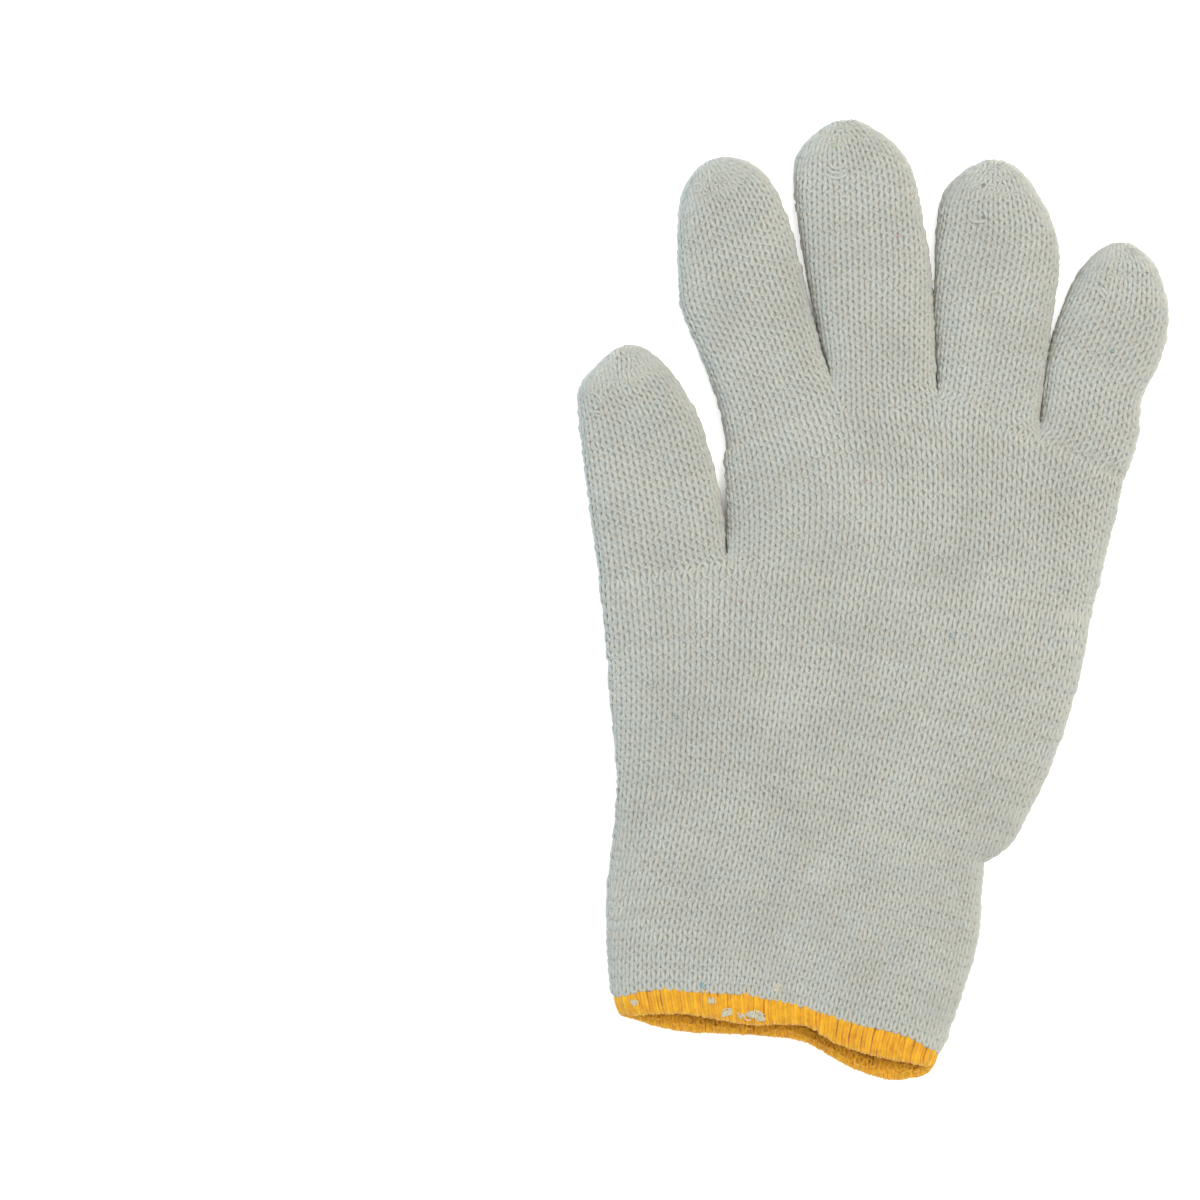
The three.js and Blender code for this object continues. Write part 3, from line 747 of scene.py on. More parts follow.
# How the wales lean, clockwise in degrees, from the roots down to the mouth: place along Y, then
# the lean at each share across
LEAN_SHARES = [0.0, 0.15, 0.3, 0.45, 0.6, 0.75, 0.9, 1.0]
UPPER_PALM_LEANS = np.array([
    (42.8, -18, -18, -12, -8, 0, 6, 16, 20),
    (36.5, -12, -9, -8, -6, 0, 5, 17, 20),
    (24.8, -4, 0, -1, 0, 1, 4, 6, 10),
    (13.1, 3, 6, 8, 8, 7, 5, 6, 9),
    (2.2, 5, 5, 9, 11, 9, 7, 9, 11),
])
LOWER_PALM_LEANS = np.array([
    (3.0, -5, -3, 3, 8, 10, 8, 9, 10),
    (-10.3, -6, -3, 1, 5, 10, 11, 11, 11),
    (-22.0, -3, 2, 6, 10, 12, 13, 13, 14),
    (-33.7, 2, 2, 4, 9, 14, 17, 20, 22),
    (-45.4, 5, 5, 5, 7, 11, 15, 20, 23),
    (-57.1, 9, 10, 8, 9, 11.5, 14, 18, 18),
])
CUFF_LEANS = np.array([
    (-57.1, 9, 10, 8, 9, 11.5, 14, 18, 18),
    (-68.8, 13, 14, 13, 11, 10, 9, 12, 12),
    (-80.5, 13, 13, 11, 12, 12, 11, 10, 11),
    (-92.2, 3, 3, 4, 13, 18, 17, 13, 14),
    (-106.0, -2, 0, 3, 10, 15, 15, 15, 16),
])
TRACE_STEPS = 60
TRACE_EVENING = 0.5
BEYOND = 12
BACK_SPACING = 0.25
TOP_REACH = 0.6


def cross(a, b):
    return a[..., 0] * b[..., 1] - a[..., 1] * b[..., 0]


def plan_at(ring, share):
    """Where a share across a ring's upper side lies on the table."""
    inside = np.clip(share, 0, 1)
    upper = slice(HALF_RING + 1)
    chord = ring.points[HALF_RING, :2] - ring.points[0, :2]
    plan = [np.interp(inside, ring.share[upper], ring.points[upper, k]) for k in (0, 1)]
    return np.column_stack(plan) + (share - inside)[:, None] * chord


def lean_at(leans, share, height):
    """The lean of the wales in a table, at shares across and at places along Y."""
    upward = leans[::-1]
    rows = np.array([np.interp(share, LEAN_SHARES, row[1:]) for row in upward])
    return between_rows(rows, np.interp(height, upward[:, 0], np.arange(len(leans))))


def traced_places(ring_at, wales, top, leans):
    """A function that gives wale places by value, followed down from the top along the leans."""
    front = ring_at(1.0).fraction_at(1.0)
    right = float(np.interp(front, top, np.arange(wales + 1)))
    last = int(right)
    index = np.arange(-BEYOND, last + BEYOND + 1)
    share = np.interp(index, np.arange(wales + 1), top) / front
    left_step = top[3] / 3 / front
    right_step = (front - top[last - 3]) / (right - last + 3) / front
    share = np.where(index < 0, index * left_step, share)
    share = np.where(index > right, 1 + (index - right) * right_step, share)
    values = np.linspace(1.0, -0.1, TRACE_STEPS)
    traced = [share]
    ring = ring_at(values[0])
    for value in values[1:]:
        here = plan_at(ring, share)
        lean = np.radians(lean_at(leans, np.clip(share, 0, 1), here[:, 1]))
        upward = np.column_stack([np.sin(lean), np.cos(lean)])
        ring = ring_at(value)
        ends = plan_at(ring, np.array([0.0, 1.0]))
        for _ in range(2):
            offset = plan_at(ring, share) - ends[0] - share[:, None] * (ends[1] - ends[0])
            share = cross(here - ends[0] - offset, upward) / cross(ends[1] - ends[0], upward)
        for _ in range(2):
            share[1:-1] += TRACE_EVENING * ((share[2:] + share[:-2]) / 2 - share[1:-1])
        traced.append(share)
    traced = np.array(traced)

    back_index = np.arange(right, wales + 1e-6, BACK_SPACING)
    back_top = (np.interp(back_index, np.arange(wales + 1), top) - front) / (1 - front)
    back_turn = (back_index - right) / (wales - right)

    def places_at(value):
        row = np.interp(-value, -values, np.arange(TRACE_STEPS))
        low = min(int(row), TRACE_STEPS - 2)
        share = traced[low] * (1 - row + low) + traced[low + 1] * (row - low)
        left_index, right_index = np.interp([0.0, 1.0], share, index)
        edge = ring_at(value).fraction_at(1.0)
        keep = fade((1 - value) / TOP_REACH)
        wale = np.arange(wales + 1.0)
        places = np.empty(wales + 1)
        for k, number in enumerate(wale):
            turn = 0
            if number < left_index:
                number += wales
                turn = -1
            if number - wales > left_index:
                number -= wales
                turn = 1
            if number <= right_index:
                places[k] = np.interp(number, index, share) * edge + turn
            else:
                back = (number - right_index) / (wales + left_index - right_index)
                back = back * (1 - keep) + np.interp(back, back_turn, back_top) * keep
                places[k] = edge + (1 - edge) * back + turn
        return places

    return places_at


upper_places = traced_places(upper_palm_ring, UPPER_WALES, upper_top, UPPER_PALM_LEANS)
upper_fabric = fabric_between(upper_palm_ring, UPPER_COURSES, UPPER_WALES, upper_places)

hand_children = [
    (0.0, THUMB_SHARE, side_shares(digit_ring("thumb", 0.0), even(DIGITS["thumb"]["wales"]))),
    (THUMB_SHARE, 1.0, side_shares(upper_palm_ring(0.0), upper_places(0.0))),
]
lower_top = joined_places(hand_children, [THUMB_CROTCH_DROPS], lower_palm_ring(1.0))
LOWER_WALES = len(lower_top) - 1
LOWER_COURSES = int(round((LOWER_PALM_LENGTH + THUMB_RISE_MEAN) / COURSE_HEIGHT["lower_palm"]))
lower_places = traced_places(lower_palm_ring, LOWER_WALES, lower_top, LOWER_PALM_LEANS)
lower_fabric = fabric_between(lower_palm_ring, LOWER_COURSES, LOWER_WALES, lower_places)

CUFF_COURSES = int(round(CUFF_LENGTH * CUFF_SHARE_KNITTED / COURSE_HEIGHT["wrist_cuff"]))
cuff_places = traced_places(cuff_ring_up, LOWER_WALES, lower_places(0.0), CUFF_LEANS)
cuff_fabric = fabric_between(cuff_ring_up, CUFF_COURSES, LOWER_WALES, cuff_places)


# Yarn

CORNER_VALUES = ("yarn_run", "yarn_turn", "yarn_shade")
TWIST_OFFSET = 50


class MeshParts:
    """Collects vertices, quads and yarn coordinates, then makes one mesh object."""

    def __init__(self):
        self.verts = []
        self.quads = []
        self.corners = {label: [] for label in CORNER_VALUES}
        self.count = 0

    def add(self, verts, quads, runs, turns, shade):
        self.verts.append(verts)
        self.quads.append(quads + self.count)
        shades = np.full(len(quads) * 4, shade) if np.isscalar(shade) else shade
        for kept, values in zip(self.corners.values(), (runs, turns, shades)):
            kept.append(values)
        self.count += len(verts)

    def add_yarn(self, centres, normals, radii, sides=YARN_SIDES, closed=True, shade=0.5):
        """A yarn that follows centres, with a side turned to the normals."""
        runs = run_along(centres) + rng.uniform(0, TWIST_OFFSET)
        if closed:
            tangents = unit(np.roll(centres, -1, axis=0) - np.roll(centres, 1, axis=0))
        else:
            tangents = unit(np.gradient(centres, axis=0))
        binormals = unit(np.cross(tangents, normals))
        uprights = np.cross(binormals, tangents)
        turn = 2 * math.pi * np.arange(sides)[:, None] / sides
        rim = np.cos(turn) * uprights[:, None] + np.sin(turn) * binormals[:, None]
        verts = (centres[:, None] + radii[:, None, None] * rim).reshape(-1, 3)

        count = len(centres)
        step = np.arange(count if closed else count - 1)[:, None]
        side = np.arange(sides)[None, :]
        next_side = (side + 1) % sides
        near = step * sides
        far = (step + 1) % count * sides
        quads = [near + side, near + next_side, far + next_side, far + side]
        strides = np.abs(np.diff(np.append(runs, 2 * runs[-1] - runs[-2])))
        run_near = runs[step] + np.zeros((1, sides))
        run_far = run_near + strides[step]
        turn_near = side / sides + np.zeros((len(step), 1))
        turn_next = turn_near + 1 / sides
        self.add(
            verts,
            np.stack(quads, axis=-1).reshape(-1, 4),
            np.stack([run_near, run_near, run_far, run_far], axis=-1).reshape(-1),
            np.stack([turn_near, turn_next, turn_next, turn_near], axis=-1).reshape(-1),
            shade,
        )

    def add_sheet(self, grid, shade):
        """A sheet of quads through a grid of points, closed across its columns."""
        rows, columns, _ = grid.shape
        index = np.arange(rows * columns).reshape(rows, columns)
        index = np.concatenate([index, index[:, :1]], axis=1)
        quads = [index[:-1, :-1], index[:-1, 1:], index[1:, 1:], index[1:, :-1]]
        quads = np.stack(quads, axis=-1).reshape(-1, 4)
        blank = np.zeros(len(quads) * 4)
        self.add(grid.reshape(-1, 3), quads, blank, blank, shade)

    def make(self, name):
        verts = np.concatenate(self.verts) * MM
        quads = np.concatenate(self.quads)
        mesh = bpy.data.meshes.new(name)
        mesh.vertices.add(len(verts))
        mesh.vertices.foreach_set("co", verts.astype(np.float32).ravel())
        mesh.loops.add(len(quads) * 4)
        mesh.loops.foreach_set("vertex_index", quads.astype(np.int32).ravel())
        mesh.polygons.add(len(quads))
        mesh.polygons.foreach_set("loop_start", np.arange(len(quads), dtype=np.int32) * 4)
        mesh.polygons.foreach_set("use_smooth", np.ones(len(quads), dtype=bool))
        mesh.update(calc_edges=True)
        for label, values in self.corners.items():
            attribute = mesh.attributes.new(label, "FLOAT", "CORNER")
            attribute.data.foreach_set("value", np.concatenate(values).astype(np.float32))
        piece = bpy.data.objects.new(name, mesh)
        bpy.context.scene.collection.objects.link(piece)
        return piece


def wander(stitch, stitches, scale, knots_per_stitch):
    """Smooth random drift along a closed course."""
    knots = max(int(stitches * knots_per_stitch), 3)
    values = rng.normal(0, scale, knots)
    return np.interp(stitch / stitches * knots, np.arange(knots + 1), np.append(values, values[0]))


def stitch_places(stitches, fabric):
    """Places along a course, in stitches, closer on the front than on the back."""
    places = []
    for stitch in range(stitches):
        wale = np.array([stitch * fabric.wales / stitches])
        _, normal = fabric.sample(wale, np.array([fabric.last / 3]))
        steps = FRONT_STEPS if normal[0, 2] > -0.2 else BACK_STEPS
        places.append(stitch + np.arange(steps) / steps)
    return np.concatenate(places)


def knit_courses(parts, fabric, counts):
    """Lays one closed yarn of loops for each course, with the stitches that it counts."""
    layouts = {}
    for course, stitches in enumerate(counts):
        if stitches not in layouts:
            layouts[stitches] = stitch_places(stitches, fabric)
        stitch = layouts[stitches]
        phase = 2 * math.pi * stitch
        # Each stitch has three draws, of which two are used.
        jitter = rng.normal(0, 1, (stitches, 3))[np.floor(stitch + 0.5).astype(int) % stitches]
        scale = fabric.wales / stitches
        sway = LOOP_SWAY * np.sin(2 * phase)
        wale = (stitch + sway) * scale + wander(stitch, stitches, DRIFT, 1)
        rise = LOOP_RISE * (1 + RISE_JITTER * jitter[:, 0])
        row = course + 0.5 + rise * np.cos(phase) + wander(stitch, stitches, DRIFT, 0.5)
        point, normal = fabric.sample(wale, row)
        flank = np.clip(1 - FLANK_STEEPNESS * np.abs(normal[:, 2]), 0, 1)
        height = (DEPTH_JITTER + FLANK_JITTER * flank) * jitter[:, 1]
        height = height - (LOOP_DEPTH + FLANK_DEPTH * flank) * np.cos(2 * phase)
        height = height - END_SINK * np.clip(np.maximum(-row, row - len(counts)), 0, 1)
        centres = point + normal * (height - YARN_RADIUS - LOOP_DEPTH)[:, None]
        radii = YARN_RADIUS * (1 + wander(stitch, stitches, YARN_UNEVENNESS, 0.7))
        parts.add_yarn(centres, normal, radii, shade=float(rng.uniform(0, 1)))


# The skin behind the loops. A shade under 0 marks what shows only between yarns.
SKIN_DEPTH = 0.79
SKIN_THICKNESS = 0.35
SKIN_SHADE = -1.0
SKIN_OVERLAP = 0.3
TIP_GAP = 1.0


def line_fabric(parts, fabric, first, last):
    """A thin closed backing inside the wall, which stands for the yarn's inner side."""
    wale = np.arange(fabric.wales)
    layers = []
    for depth in (SKIN_DEPTH, SKIN_DEPTH + SKIN_THICKNESS):
        layer = []
        for course in np.linspace(first, last, max(int(last - first), 2)):
            point, normal = fabric.sample(wale, np.full(len(wale), course))
            layer.append(point - normal * depth)
        layers.append(np.array(layer))
    outer, inner = layers
    parts.add_sheet(np.concatenate([outer, inner[::-1], outer[:1]]), SKIN_SHADE)


# Stitches that a course of a digit may have, and how wide they are and may be squeezed
TIP_COUNTS = [26, 24, 20, 16, 12, 9, 7]
STITCH_WIDTH = 2.5
SQUEEZE = 1.12


def tip_stitches(fabric, courses):
    """How many stitches each course of a digit holds, fewer round the closure."""
    wale = np.arange(fabric.wales * 4) / 4
    counts = []
    for course in range(courses):
        point, _ = fabric.sample(wale, np.full(len(wale), course + 0.5))
        girth = np.linalg.norm(point - np.roll(point, 1, axis=0), axis=1).sum()
        most = min(girth / STITCH_WIDTH * SQUEEZE, fabric.wales)
        counts.append(next((count for count in TIP_COUNTS if count <= most), TIP_COUNTS[-1]))
    return counts


# Materials

class Paint:
    """A material with short ways to add nodes, whose inputs are plain values or outputs."""

    def __init__(self, name, inputs):
        self.material = bpy.data.materials.new(name)
        self.material.use_nodes = True
        self.tree = self.material.node_tree
        self.shader = self.tree.nodes["Principled BSDF"]
        self.feed(self.shader, inputs)

    def feed(self, node, inputs):
        for key, value in inputs.items():
            if isinstance(value, bpy.types.NodeSocket):
                self.tree.links.new(value, node.inputs[key])
            else:
                node.inputs[key].default_value = value

    def add(self, kind, settings, inputs, output=0):
        node = self.tree.nodes.new("ShaderNode" + kind)
        for key, value in settings.items():
            setattr(node, key, value)
        self.feed(node, inputs)
        return node.outputs[output]

    def math(self, operation, *values):
        return self.add("Math", {"operation": operation}, dict(enumerate(values)))

    def noise(self, place, scale, detail, roughness=0.5):
        inputs = {"Vector": place, "Scale": scale, "Detail": detail, "Roughness": roughness}
        return self.add("TexNoise", {}, inputs, "Fac")

    def mix(self, blend_type, factor, first, second):
        settings = {"data_type": "RGBA", "blend_type": blend_type}
        return self.add("Mix", settings, {"Factor": factor, "A": first, "B": second}, "Result")

    def ramp(self, value, stops, interpolation="LINEAR"):
        """A colour ramp, whose outer stops come before the ones between them."""
        colour = self.add("ValToRGB", {}, {"Fac": value}, "Color")
        colour.node.color_ramp.interpolation = interpolation
        elements = colour.node.color_ramp.elements
        for number, (position, stop_colour) in enumerate(stops):
            stop = elements[number] if number < 2 else elements.new(position)
            stop.position = position
            stop.color = (*stop_colour, 1)
        return colour


# Colours of stray fibres, picked by a shade from 2 up: green, pink, teal, blue, cream, and dark
# painted shade for the small gaps beside a closure
LINT_AND_GAP_SHADE_COLOURS = [
    (0.42, 0.46, 0.18), (0.56, 0.38, 0.38), (0.34, 0.45, 0.43),
    (0.34, 0.5, 0.56), (0.74, 0.68, 0.5), (0.3, 0.29, 0.22),
]
FIRST_LINT_OR_GAP_SHADE = 2.0
CREAM = 4

PLIES = 3
TWISTS_PER_MM = 0.42
NEUTRAL = (1, 1, 0.98)


def cotton_material(name, light, dark, shading, cool, warm, patch_scale):
    """Soft matt cotton: plied yarn with lighter and darker fibres, and painted shade in grooves."""
    paint = Paint(name, {
        "Roughness": 0.92,
        "Specular IOR Level": 0.15,
        "Sheen Weight": 0.25,
        "Sheen Roughness": 0.6,
        "Subsurface Weight": 0.35,
        "Subsurface Radius": (1.0, 0.9, 0.8),
        "Subsurface Scale": 0.0009,
    })
    run, turn, shade = (
        paint.add("Attribute", {"attribute_name": label}, {}, "Fac") for label in CORNER_VALUES
    )
    place = paint.add("TexCoord", {}, {}, "Object")
    fibres = paint.noise(place, 900.0, 4.0, roughness=0.7)
    half_patches = paint.math("MULTIPLY", paint.noise(place, patch_scale, 3.0), 0.5)
    level = paint.math("MULTIPLY_ADD", fibres, 0.5, half_patches)
    clamped = paint.add("Clamp", {}, {"Value": shade})
    shaded = paint.math("MULTIPLY_ADD", clamped, shading, level)
    yarn = paint.ramp(shaded, [(0.3 + shading / 2, dark), (0.62 + shading / 2, light)])
    casts = paint.noise(place, 330.0, 2.0)
    cast = paint.ramp(casts, [(0.34, cool), (0.66, warm), (0.5, NEUTRAL)])
    tinted = paint.mix("MULTIPLY", 1.0, yarn, cast)

    # Shades from 2 up pick a fibre colour, or, for the last one, dark painted shade for a gap by a
    # closure.
    share = 1 / len(LINT_AND_GAP_SHADE_COLOURS)
    picked = paint.math("MULTIPLY_ADD", shade, share, (0.1 - FIRST_LINT_OR_GAP_SHADE) * share)
    stops = [(number * share, colour) for number, colour in enumerate(LINT_AND_GAP_SHADE_COLOURS)]
    is_lint_or_gap_shade = paint.math("GREATER_THAN", shade, FIRST_LINT_OR_GAP_SHADE - 0.5)
    with_lint_and_gap_shade = paint.mix("MIX", is_lint_or_gap_shade, tinted, paint.ramp(picked, stops, "CONSTANT"))
    is_skin = paint.math("LESS_THAN", shade, SKIN_SHADE / 2)
    colour = paint.mix("MIX", is_skin, with_lint_and_gap_shade, (*light, 1))

    twist = paint.math("MULTIPLY", run, 2 * math.pi * TWISTS_PER_MM)
    plies = paint.math("SINE", paint.math("MULTIPLY_ADD", turn, 2 * math.pi * PLIES, twist))
    relief = paint.math("MULTIPLY_ADD", plies, 0.35, fibres)
    bump = paint.add("Bump", {}, {"Strength": 0.6, "Distance": 0.00012, "Height": relief})
    paint.feed(paint.shader, {"Base Color": colour, "Normal": bump})
    return paint.material


cotton = cotton_material(
    "cotton_knit", light=(0.5, 0.498, 0.445), dark=(0.41, 0.405, 0.36), shading=0.06,
    cool=(0.965, 0.995, 1), warm=(1, 0.98, 0.945), patch_scale=60.0,
)
# On the yellow edge the darker colour is partly painted shade, in the grooves between the ribs.
edging = cotton_material(
    "edging", light=(0.82, 0.41, 0.016), dark=(0.6, 0.25, 0.01), shading=0.14,
    cool=(1, 0.995, 1), warm=(1, 1, 1), patch_scale=420.0,
)


def finish_piece(piece, node, material):
    piece.data.materials.append(material)
    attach(piece, "root")
    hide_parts(node)


# Yarn ends worked in where each digit closes: places on the table, seen from above
CLOSING_YARNS = {
    "index_finger": [
        [
            (-47.5, 106.7), (-46.8, 107.6), (-45.7, 107.8), (-44.8, 107.0), (-45.4, 105.9),
            (-46.6, 105.8), (-47.6, 106.3),
        ],
        [(-43.9, 108.6), (-44.4, 107.4), (-43.9, 106.2), (-42.9, 105.4)],
    ],
    "middle_finger": [
        [(-13.5, 111.3), (-12.5, 109.8), (-10.1, 109.1), (-7.9, 109.8), (-7.2, 110.9)],
        [(-13.0, 112.4), (-11.6, 110.8), (-9.6, 110.4), (-7.9, 111.2), (-6.9, 112.3)],
        [(-12.5, 113.7), (-11.4, 112.1), (-9.6, 111.6), (-7.7, 112.7)],
    ],
    "ring_finger": [
        [(23.8, 100.6), (24.4, 98.6), (25.7, 97.8), (27.8, 98.0), (28.8, 99.0)],
        [(23.7, 107.5), (24.7, 106.4), (25.7, 107.2), (26.8, 106.6)],
    ],
    "little_finger": [
        [(56.8, 80.9), (58.1, 79.4), (59.4, 77.7)],
        [(57.7, 81.6), (58.9, 80.2), (60.1, 78.6)],
    ],
    "thumb": [
        [(-74.5, 53.5), (-73.1, 53.6), (-71.7, 52.8), (-71.0, 51.4), (-72.3, 50.9)],
        [(-73.8, 48.1), (-72.3, 48.8), (-70.6, 48.4)],
    ],
}
CLOSING_RADIUS = 0.48
CLOSING_SINK = 0.3
CLOSING_SHADE = 0.8

# Stray fibres by piece, colour 5 being painted shade in a gap by a closure: place, length, lean, colour
LINT_AND_GAP_SHADE = {
    "middle_finger": [(-10.4, 117.4, 1.3, 80, 0), (6.2, 94.0, 0.6, 10, 1)],
    "ring_finger": [(27.3, 107.2, 0.7, 20, 5), (27.8, 98.9, 0.8, 10, 5)],
    "little_finger": [(60.8, 64.6, 0.9, 40, 2), (58.2, 81.5, 0.8, 30, 5)],
    "thumb": [(-71.8, 49.3, 0.8, 0, 5)],
    "upper_palm": [(-3.0, 31.0, 0.7, 60, 1)],
    "lower_palm": [(19.8, -9.2, 1.0, 70, 3), (-52.0, -30.0, 0.6, 10, 2), (-36.0, 0.0, 0.7, 140, 1)],
    "wrist_cuff": [(-44.7, -99.2, 1.5, 30, 3), (-25.6, -100.2, 2.2, 95, 4)],
    "cuff_edging": [
        (-62.4, -103.9, 1.6, 130, 4), (-42.6, -103.3, 1.3, 10, 4), (-38.4, -106.6, 3.4, 68, 4),
        (-34.8, -107.2, 0.7, 20, 4), (-32.3, -106.7, 2.4, 85, 4), (-30.2, -107.2, 2.2, 122, 4),
        (-29.4, -107.9, 0.9, 190, 4),
    ],
}
LINT_STRANDS = {CREAM: 16}
FEWEST_STRANDS = 4
LINT_RADIUS = 0.13
LINT_SINK = 0.05
LINT_SCATTER = 0.2
LINT_CURL = 0.5
LINT_SPREAD = 14

FACING_UP = 0.15
NEAREST = 8
LAID_STEPS = 6
PULLED_IN = 1.2
LAID_UNEVENNESS = 0.05


def on_fabric(fabric, plan, sink):
    """Points and normals on the upper side of a fabric under places on the table."""
    upper = fabric.normals[..., 2] > FACING_UP
    points = fabric.points[upper]
    normals = fabric.normals[upper]
    found = []
    ways = []
    for place in plan:
        away = np.hypot(points[:, 0] - place[0], points[:, 1] - place[1])
        near = np.argsort(away)[:NEAREST]
        weight = 1 / (away[near] + 0.05)
        weight /= weight.sum()
        found.append([*place, points[near, 2] @ weight])
        ways.append(weight @ normals[near])
    ways = unit(np.array(ways))
    return np.array(found) - ways * sink[:, None], ways


def add_laid_yarn(parts, fabric, line, radius, sink, shade, sides=YARN_SIDES):
    """A yarn along a line on the upper side of a fabric, with both ends pulled in."""
    line = np.array(line)
    at = np.linspace(0, len(line) - 1, LAID_STEPS * (len(line) - 1) + 1)
    plan = np.column_stack([through_rows(np.arange(len(line)), line[:, k], at) for k in (0, 1)])
    pulled = sink + PULLED_IN * np.abs(2 * at / at[-1] - 1) ** 6
    centres, normals = on_fabric(fabric, plan, pulled)
    radii = radius * (1 + rng.normal(0, LAID_UNEVENNESS, len(at)))
    parts.add_yarn(centres, normals, radii, sides=sides, closed=False, shade=shade)


def add_lint_and_gap_shade(parts, fabric, label):
    """Small curls of stray fibre, and dark ones of painted shade in gaps by a closure."""
    for x, y, length, lean, colour in LINT_AND_GAP_SHADE.get(label, []):
        for _ in range(LINT_STRANDS.get(colour, FEWEST_STRANDS)):
            start = np.array([x, y]) - leaning(lean) * length / 2 + rng.normal(0, LINT_SCATTER, 2)
            turned = leaning(lean + rng.normal(0, LINT_SPREAD))
            curl = rng.normal(0, LINT_CURL)
            line = []
            for part in (0.0, 0.35, 0.7, 1.0):
                bow = curl * math.sin(math.pi * part)
                line.append(offset_point(start, turned, part * length, bow))
            shade = FIRST_LINT_OR_GAP_SHADE + colour
            add_laid_yarn(parts, fabric, line, LINT_RADIUS, LINT_SINK, shade, sides=4)


tubes = {
    **digit_fabrics,
    "upper_palm": (upper_fabric, UPPER_COURSES),
    "lower_palm": (lower_fabric, LOWER_COURSES),
    "wrist_cuff": (cuff_fabric, CUFF_COURSES),
}
for label, (fabric, courses) in tubes.items():
    parts = MeshParts()
    if label in DIGITS:
        knit_courses(parts, fabric, tip_stitches(fabric, courses))
        line_fabric(parts, fabric, -SKIN_OVERLAP, courses - TIP_GAP)
    else:
        knit_courses(parts, fabric, [fabric.wales] * courses)
        line_fabric(parts, fabric, -SKIN_OVERLAP, courses + SKIN_OVERLAP)
    for line in CLOSING_YARNS.get(label, []):
        add_laid_yarn(parts, fabric, line, CLOSING_RADIUS, CLOSING_SINK, CLOSING_SHADE)
    add_lint_and_gap_shade(parts, fabric, label)
    finish_piece(parts.make("knit_" + label), label, cotton)


# The yellow edge: a thick thread wrapped closely over the last rows of the cuff, round a core,
# with two rows of loops inside the mouth

BAND_ROWS = np.linspace(-0.4, 1.4, 13)
BAND_COLUMNS = 720
BAND_TURNS = 210
TURN_STEPS = 22
TURN_DRIFT = 0.2
WRAP_RADIUS = 0.6
WRAP_UNEVENNESS = 0.24
WRAP_SIDES = 6
WRAP_RIBS = 70
RIB_DEPTH = 0.07
RIB_DRIFT = 0.12
TUFT_REACH = 0.05
TUFT_DRIFT = 0.03
BAND_MIDDLE = 1.6
BAND_HALF = 0.85
BAND_HALF_WIDTH = 0.44
CORE_MARGIN = 0.35
CORE_COLUMNS = 240
CORE_SHADE = -0.2
SHADE_JITTER = 0.1


def band_path(around, angle, half, reach=0.0):
    """Points on the wrap: around is the place along the edge, angle the turn about its core."""
    cosine = np.cos(angle)
    sine = np.sin(angle)
    half_width = BAND_HALF_WIDTH + np.where(cosine > 0, reach, 0.0)
    across = 0.5 - half_width * np.sign(cosine) * np.abs(cosine) ** 0.6
    depth = BAND_MIDDLE - half * np.sign(sine) * np.abs(sine) ** 0.8
    point, normal = band_surface.sample(around, across)
    return point - normal * depth[:, None]


band_columns = np.arange(BAND_COLUMNS) / BAND_COLUMNS
band_points = np.array([band_ring(value).at(band_columns) for value in BAND_ROWS])
band_surface = Fabric(band_points, BAND_ROWS[0], BAND_ROWS[-1], 1.0)
band_surface.normals = -band_surface.normals
band_parts = MeshParts()

core_columns = np.arange(CORE_COLUMNS) / CORE_COLUMNS
core_rows = []
for core_angle in np.linspace(0, 2 * math.pi, 13):
    angle = np.full(CORE_COLUMNS, core_angle)
    core_rows.append(band_path(core_columns, angle, BAND_HALF - CORE_MARGIN))
band_parts.add_sheet(np.array(core_rows), CORE_SHADE)

wrap_count = BAND_TURNS * TURN_STEPS
wrap = np.arange(wrap_count) / TURN_STEPS
turn_drift = rng.normal(0, TURN_DRIFT, BAND_TURNS + 1)
around = (wrap + np.interp(wrap, np.arange(BAND_TURNS + 1), turn_drift)) / BAND_TURNS
rib = 2 * math.pi * (WRAP_RIBS * around + wander(wrap, BAND_TURNS, RIB_DRIFT, 0.5))
rib_height = 0.5 + 0.5 * np.cos(rib)
wrap_half = BAND_HALF * (1 - RIB_DEPTH + RIB_DEPTH * rib_height)
tufts = TUFT_REACH * (rib_height - 0.5) + wander(wrap, BAND_TURNS, TUFT_DRIFT, 0.7)
wrap_centres = band_path(around, 2 * math.pi * wrap, wrap_half, tufts)
flat = np.zeros(wrap_count)
middle = (band_path(around, flat, flat) + band_path(around, flat + math.pi, flat)) / 2
wrap_radii = WRAP_RADIUS * (1 + wander(wrap, BAND_TURNS, WRAP_UNEVENNESS, 7))
# Painted shade: the wrap's colour is darker in the grooves between its ribs, with a little random tone.
wrap_shade = np.clip(rib_height + rng.normal(0, SHADE_JITTER, wrap_count), 0, 1)
band_parts.add_yarn(
    wrap_centres, unit(wrap_centres - middle), wrap_radii, sides=WRAP_SIDES,
    shade=np.repeat(wrap_shade, WRAP_SIDES * 4),
)

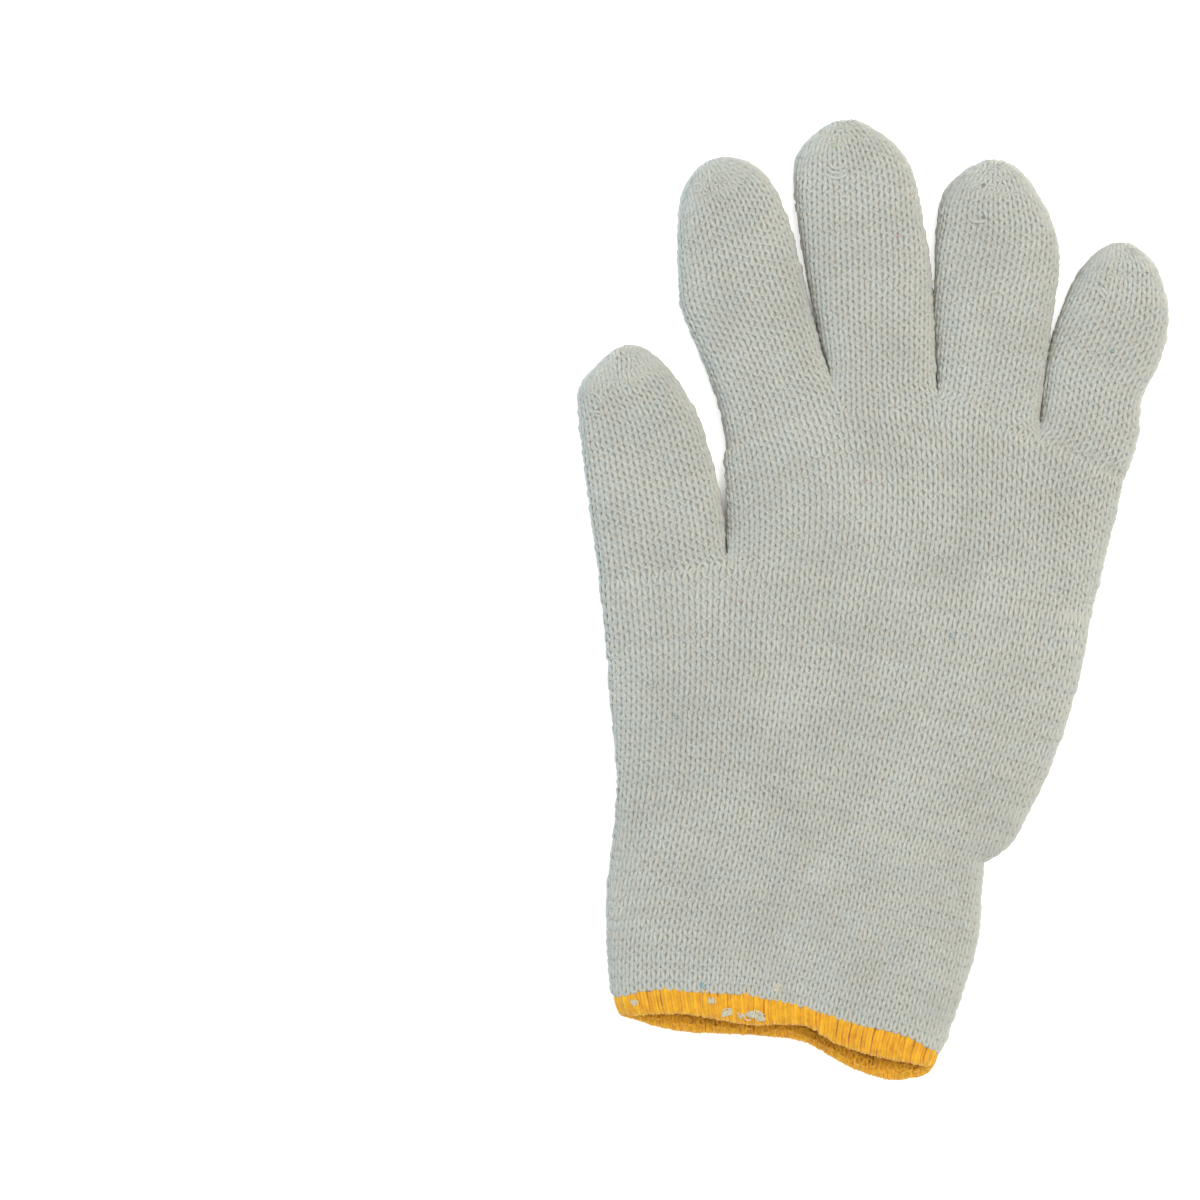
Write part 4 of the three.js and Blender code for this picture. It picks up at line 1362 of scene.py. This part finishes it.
# The rows of loops: across the band, below its surface, and how far they swing
LOOPER_ROWS = [(0.7, 2.9, 0.1), (0.42, 2.9, 0.12)]
LOOPS = 84
LOOP_POINTS = 14
LOOPER_RADIUS = 0.42
LOOPER_DRIFT = 0.12
loop = np.arange(LOOPS * LOOP_POINTS) / LOOP_POINTS
for row_across, row_depth, row_swing in LOOPER_ROWS:
    phase = 2 * math.pi * (loop + rng.uniform())
    across = row_across + row_swing * np.cos(phase) + wander(loop, LOOPS, 0.05, 2)
    sway = 0.24 * np.sin(2 * phase) + wander(loop, LOOPS, LOOPER_DRIFT, 1)
    point, normal = band_surface.sample((loop + sway) / LOOPS, across)
    sink = row_depth + 0.1 * np.cos(2 * phase) + wander(loop, LOOPS, LOOPER_DRIFT, 2)
    radii = LOOPER_RADIUS * (1 + wander(loop, LOOPS, 0.18, 3))
    band_parts.add_yarn(point - normal * sink[:, None], normal, radii)

# For laying fibres on it, the band's wide side is turned to be the upper one.
turned_band = Fabric(band_points[::-1, ::6], BAND_ROWS[0], BAND_ROWS[-1], 1.0)
add_lint_and_gap_shade(band_parts, turned_band, "cuff_edging")
finish_piece(band_parts.make("edge_wrap"), "cuff_edging", edging)


# Stage, camera and light

FLOOR_HALF = 2.0
floor_corners = [(-1, -1), (1, -1), (1, 1), (-1, 1)]
floor_mesh = bpy.data.meshes.new("floor")
floor_mesh.from_pydata(
    [(x * FLOOR_HALF, y * FLOOR_HALF, 0) for x, y in floor_corners], [], [(0, 1, 2, 3)],
)
floor = bpy.data.objects.new("floor", floor_mesh)
bpy.context.scene.collection.objects.link(floor)

# The ground glows faintly, so shadows on it stay near white, apart from the slits between digits.
FLOOR_GLOW = 0.5
SLIT_GLOW = 0.08
SLIT_ENDS = [(-38.0, 11.6), (-13.5, 61.2), (15.1, 55.8), (41.6, 44.9)]
SLIT_DARK = 10.0
SLIT_FADE = 26.0
floor_paint = Paint("floor_white", {
    "Base Color": (0.95, 0.95, 0.95, 1),
    "Roughness": 0.9,
    "Specular IOR Level": 0.1,
    "Emission Color": (1, 1, 1, 1),
})
floor_place = floor_paint.add("TexCoord", {}, {}, "Object")
# Round the slit ends the glow is turned down, which paints shade on the ground there.
glow = FLOOR_GLOW
for slit_x, slit_y in SLIT_ENDS:
    slit_end = (slit_x * MM, slit_y * MM, 0)
    away = floor_paint.add(
        "VectorMath", {"operation": "DISTANCE"}, {0: floor_place, 1: slit_end}, "Value",
    )
    spread = floor_paint.add("MapRange", {"interpolation_type": "SMOOTHSTEP"}, {
        "Value": away,
        "From Min": SLIT_DARK * MM,
        "From Max": SLIT_FADE * MM,
        "To Min": SLIT_GLOW,
        "To Max": FLOOR_GLOW,
    }, "Result")
    glow = floor_paint.math("MINIMUM", glow, spread)
floor_paint.feed(floor_paint.shader, {"Emission Strength": glow})
floor_mesh.materials.append(floor_paint.material)

# The photo is seen from straight above, at this many millimetres to a pixel of its 1200.
PHOTO_SCALE = 0.26
PHOTO_SIZE = 1200
PHOTO_MIDDLE = (600 - 873.9, 600.5 - 600)
CAMERA_HEIGHT = 1.6
SENSOR = 36.0
camera_data = bpy.data.cameras.new("camera")
camera_data.sensor_width = SENSOR
camera_data.lens = SENSOR * CAMERA_HEIGHT / (PHOTO_SIZE * PHOTO_SCALE * MM)
camera_data.clip_end = 20
camera = bpy.data.objects.new("camera", camera_data)
photo_x, photo_y = (value * PHOTO_SCALE * MM for value in PHOTO_MIDDLE)
camera.location = (photo_x, photo_y, CAMERA_HEIGHT)
bpy.context.scene.collection.objects.link(camera)
bpy.context.scene.camera = camera


def area_light(name, location, size, power, colour):
    """A square soft light that faces the glove."""
    data = bpy.data.lights.new(name, "AREA")
    data.shape = "SQUARE"
    data.size = size
    data.energy = power
    data.color = colour
    light = bpy.data.objects.new(name, data)
    light.location = location
    yaw = math.atan2(-location[1], -location[0])
    pitch = math.atan2(math.hypot(location[0], location[1]), location[2])
    light.rotation_euler = (pitch, 0, yaw - math.pi / 2)
    bpy.context.scene.collection.objects.link(light)


area_light("key", (0.52, 0.32, 1.53), 1.0, 22.8, (1.0, 0.985, 0.955))
area_light("fill", (-1.5, 0.3, 0.36), 0.8, 9, (0.46, 0.73, 1.0))
world = bpy.data.worlds.new("world")
world.use_nodes = True
world.node_tree.nodes["Background"].inputs["Color"].default_value = (0.95, 0.98, 1, 1)
world.node_tree.nodes["Background"].inputs["Strength"].default_value = 0.6
bpy.context.scene.world = world
bpy.context.scene.view_settings.view_transform = "Standard"
bpy.context.scene.view_settings.look = "None"
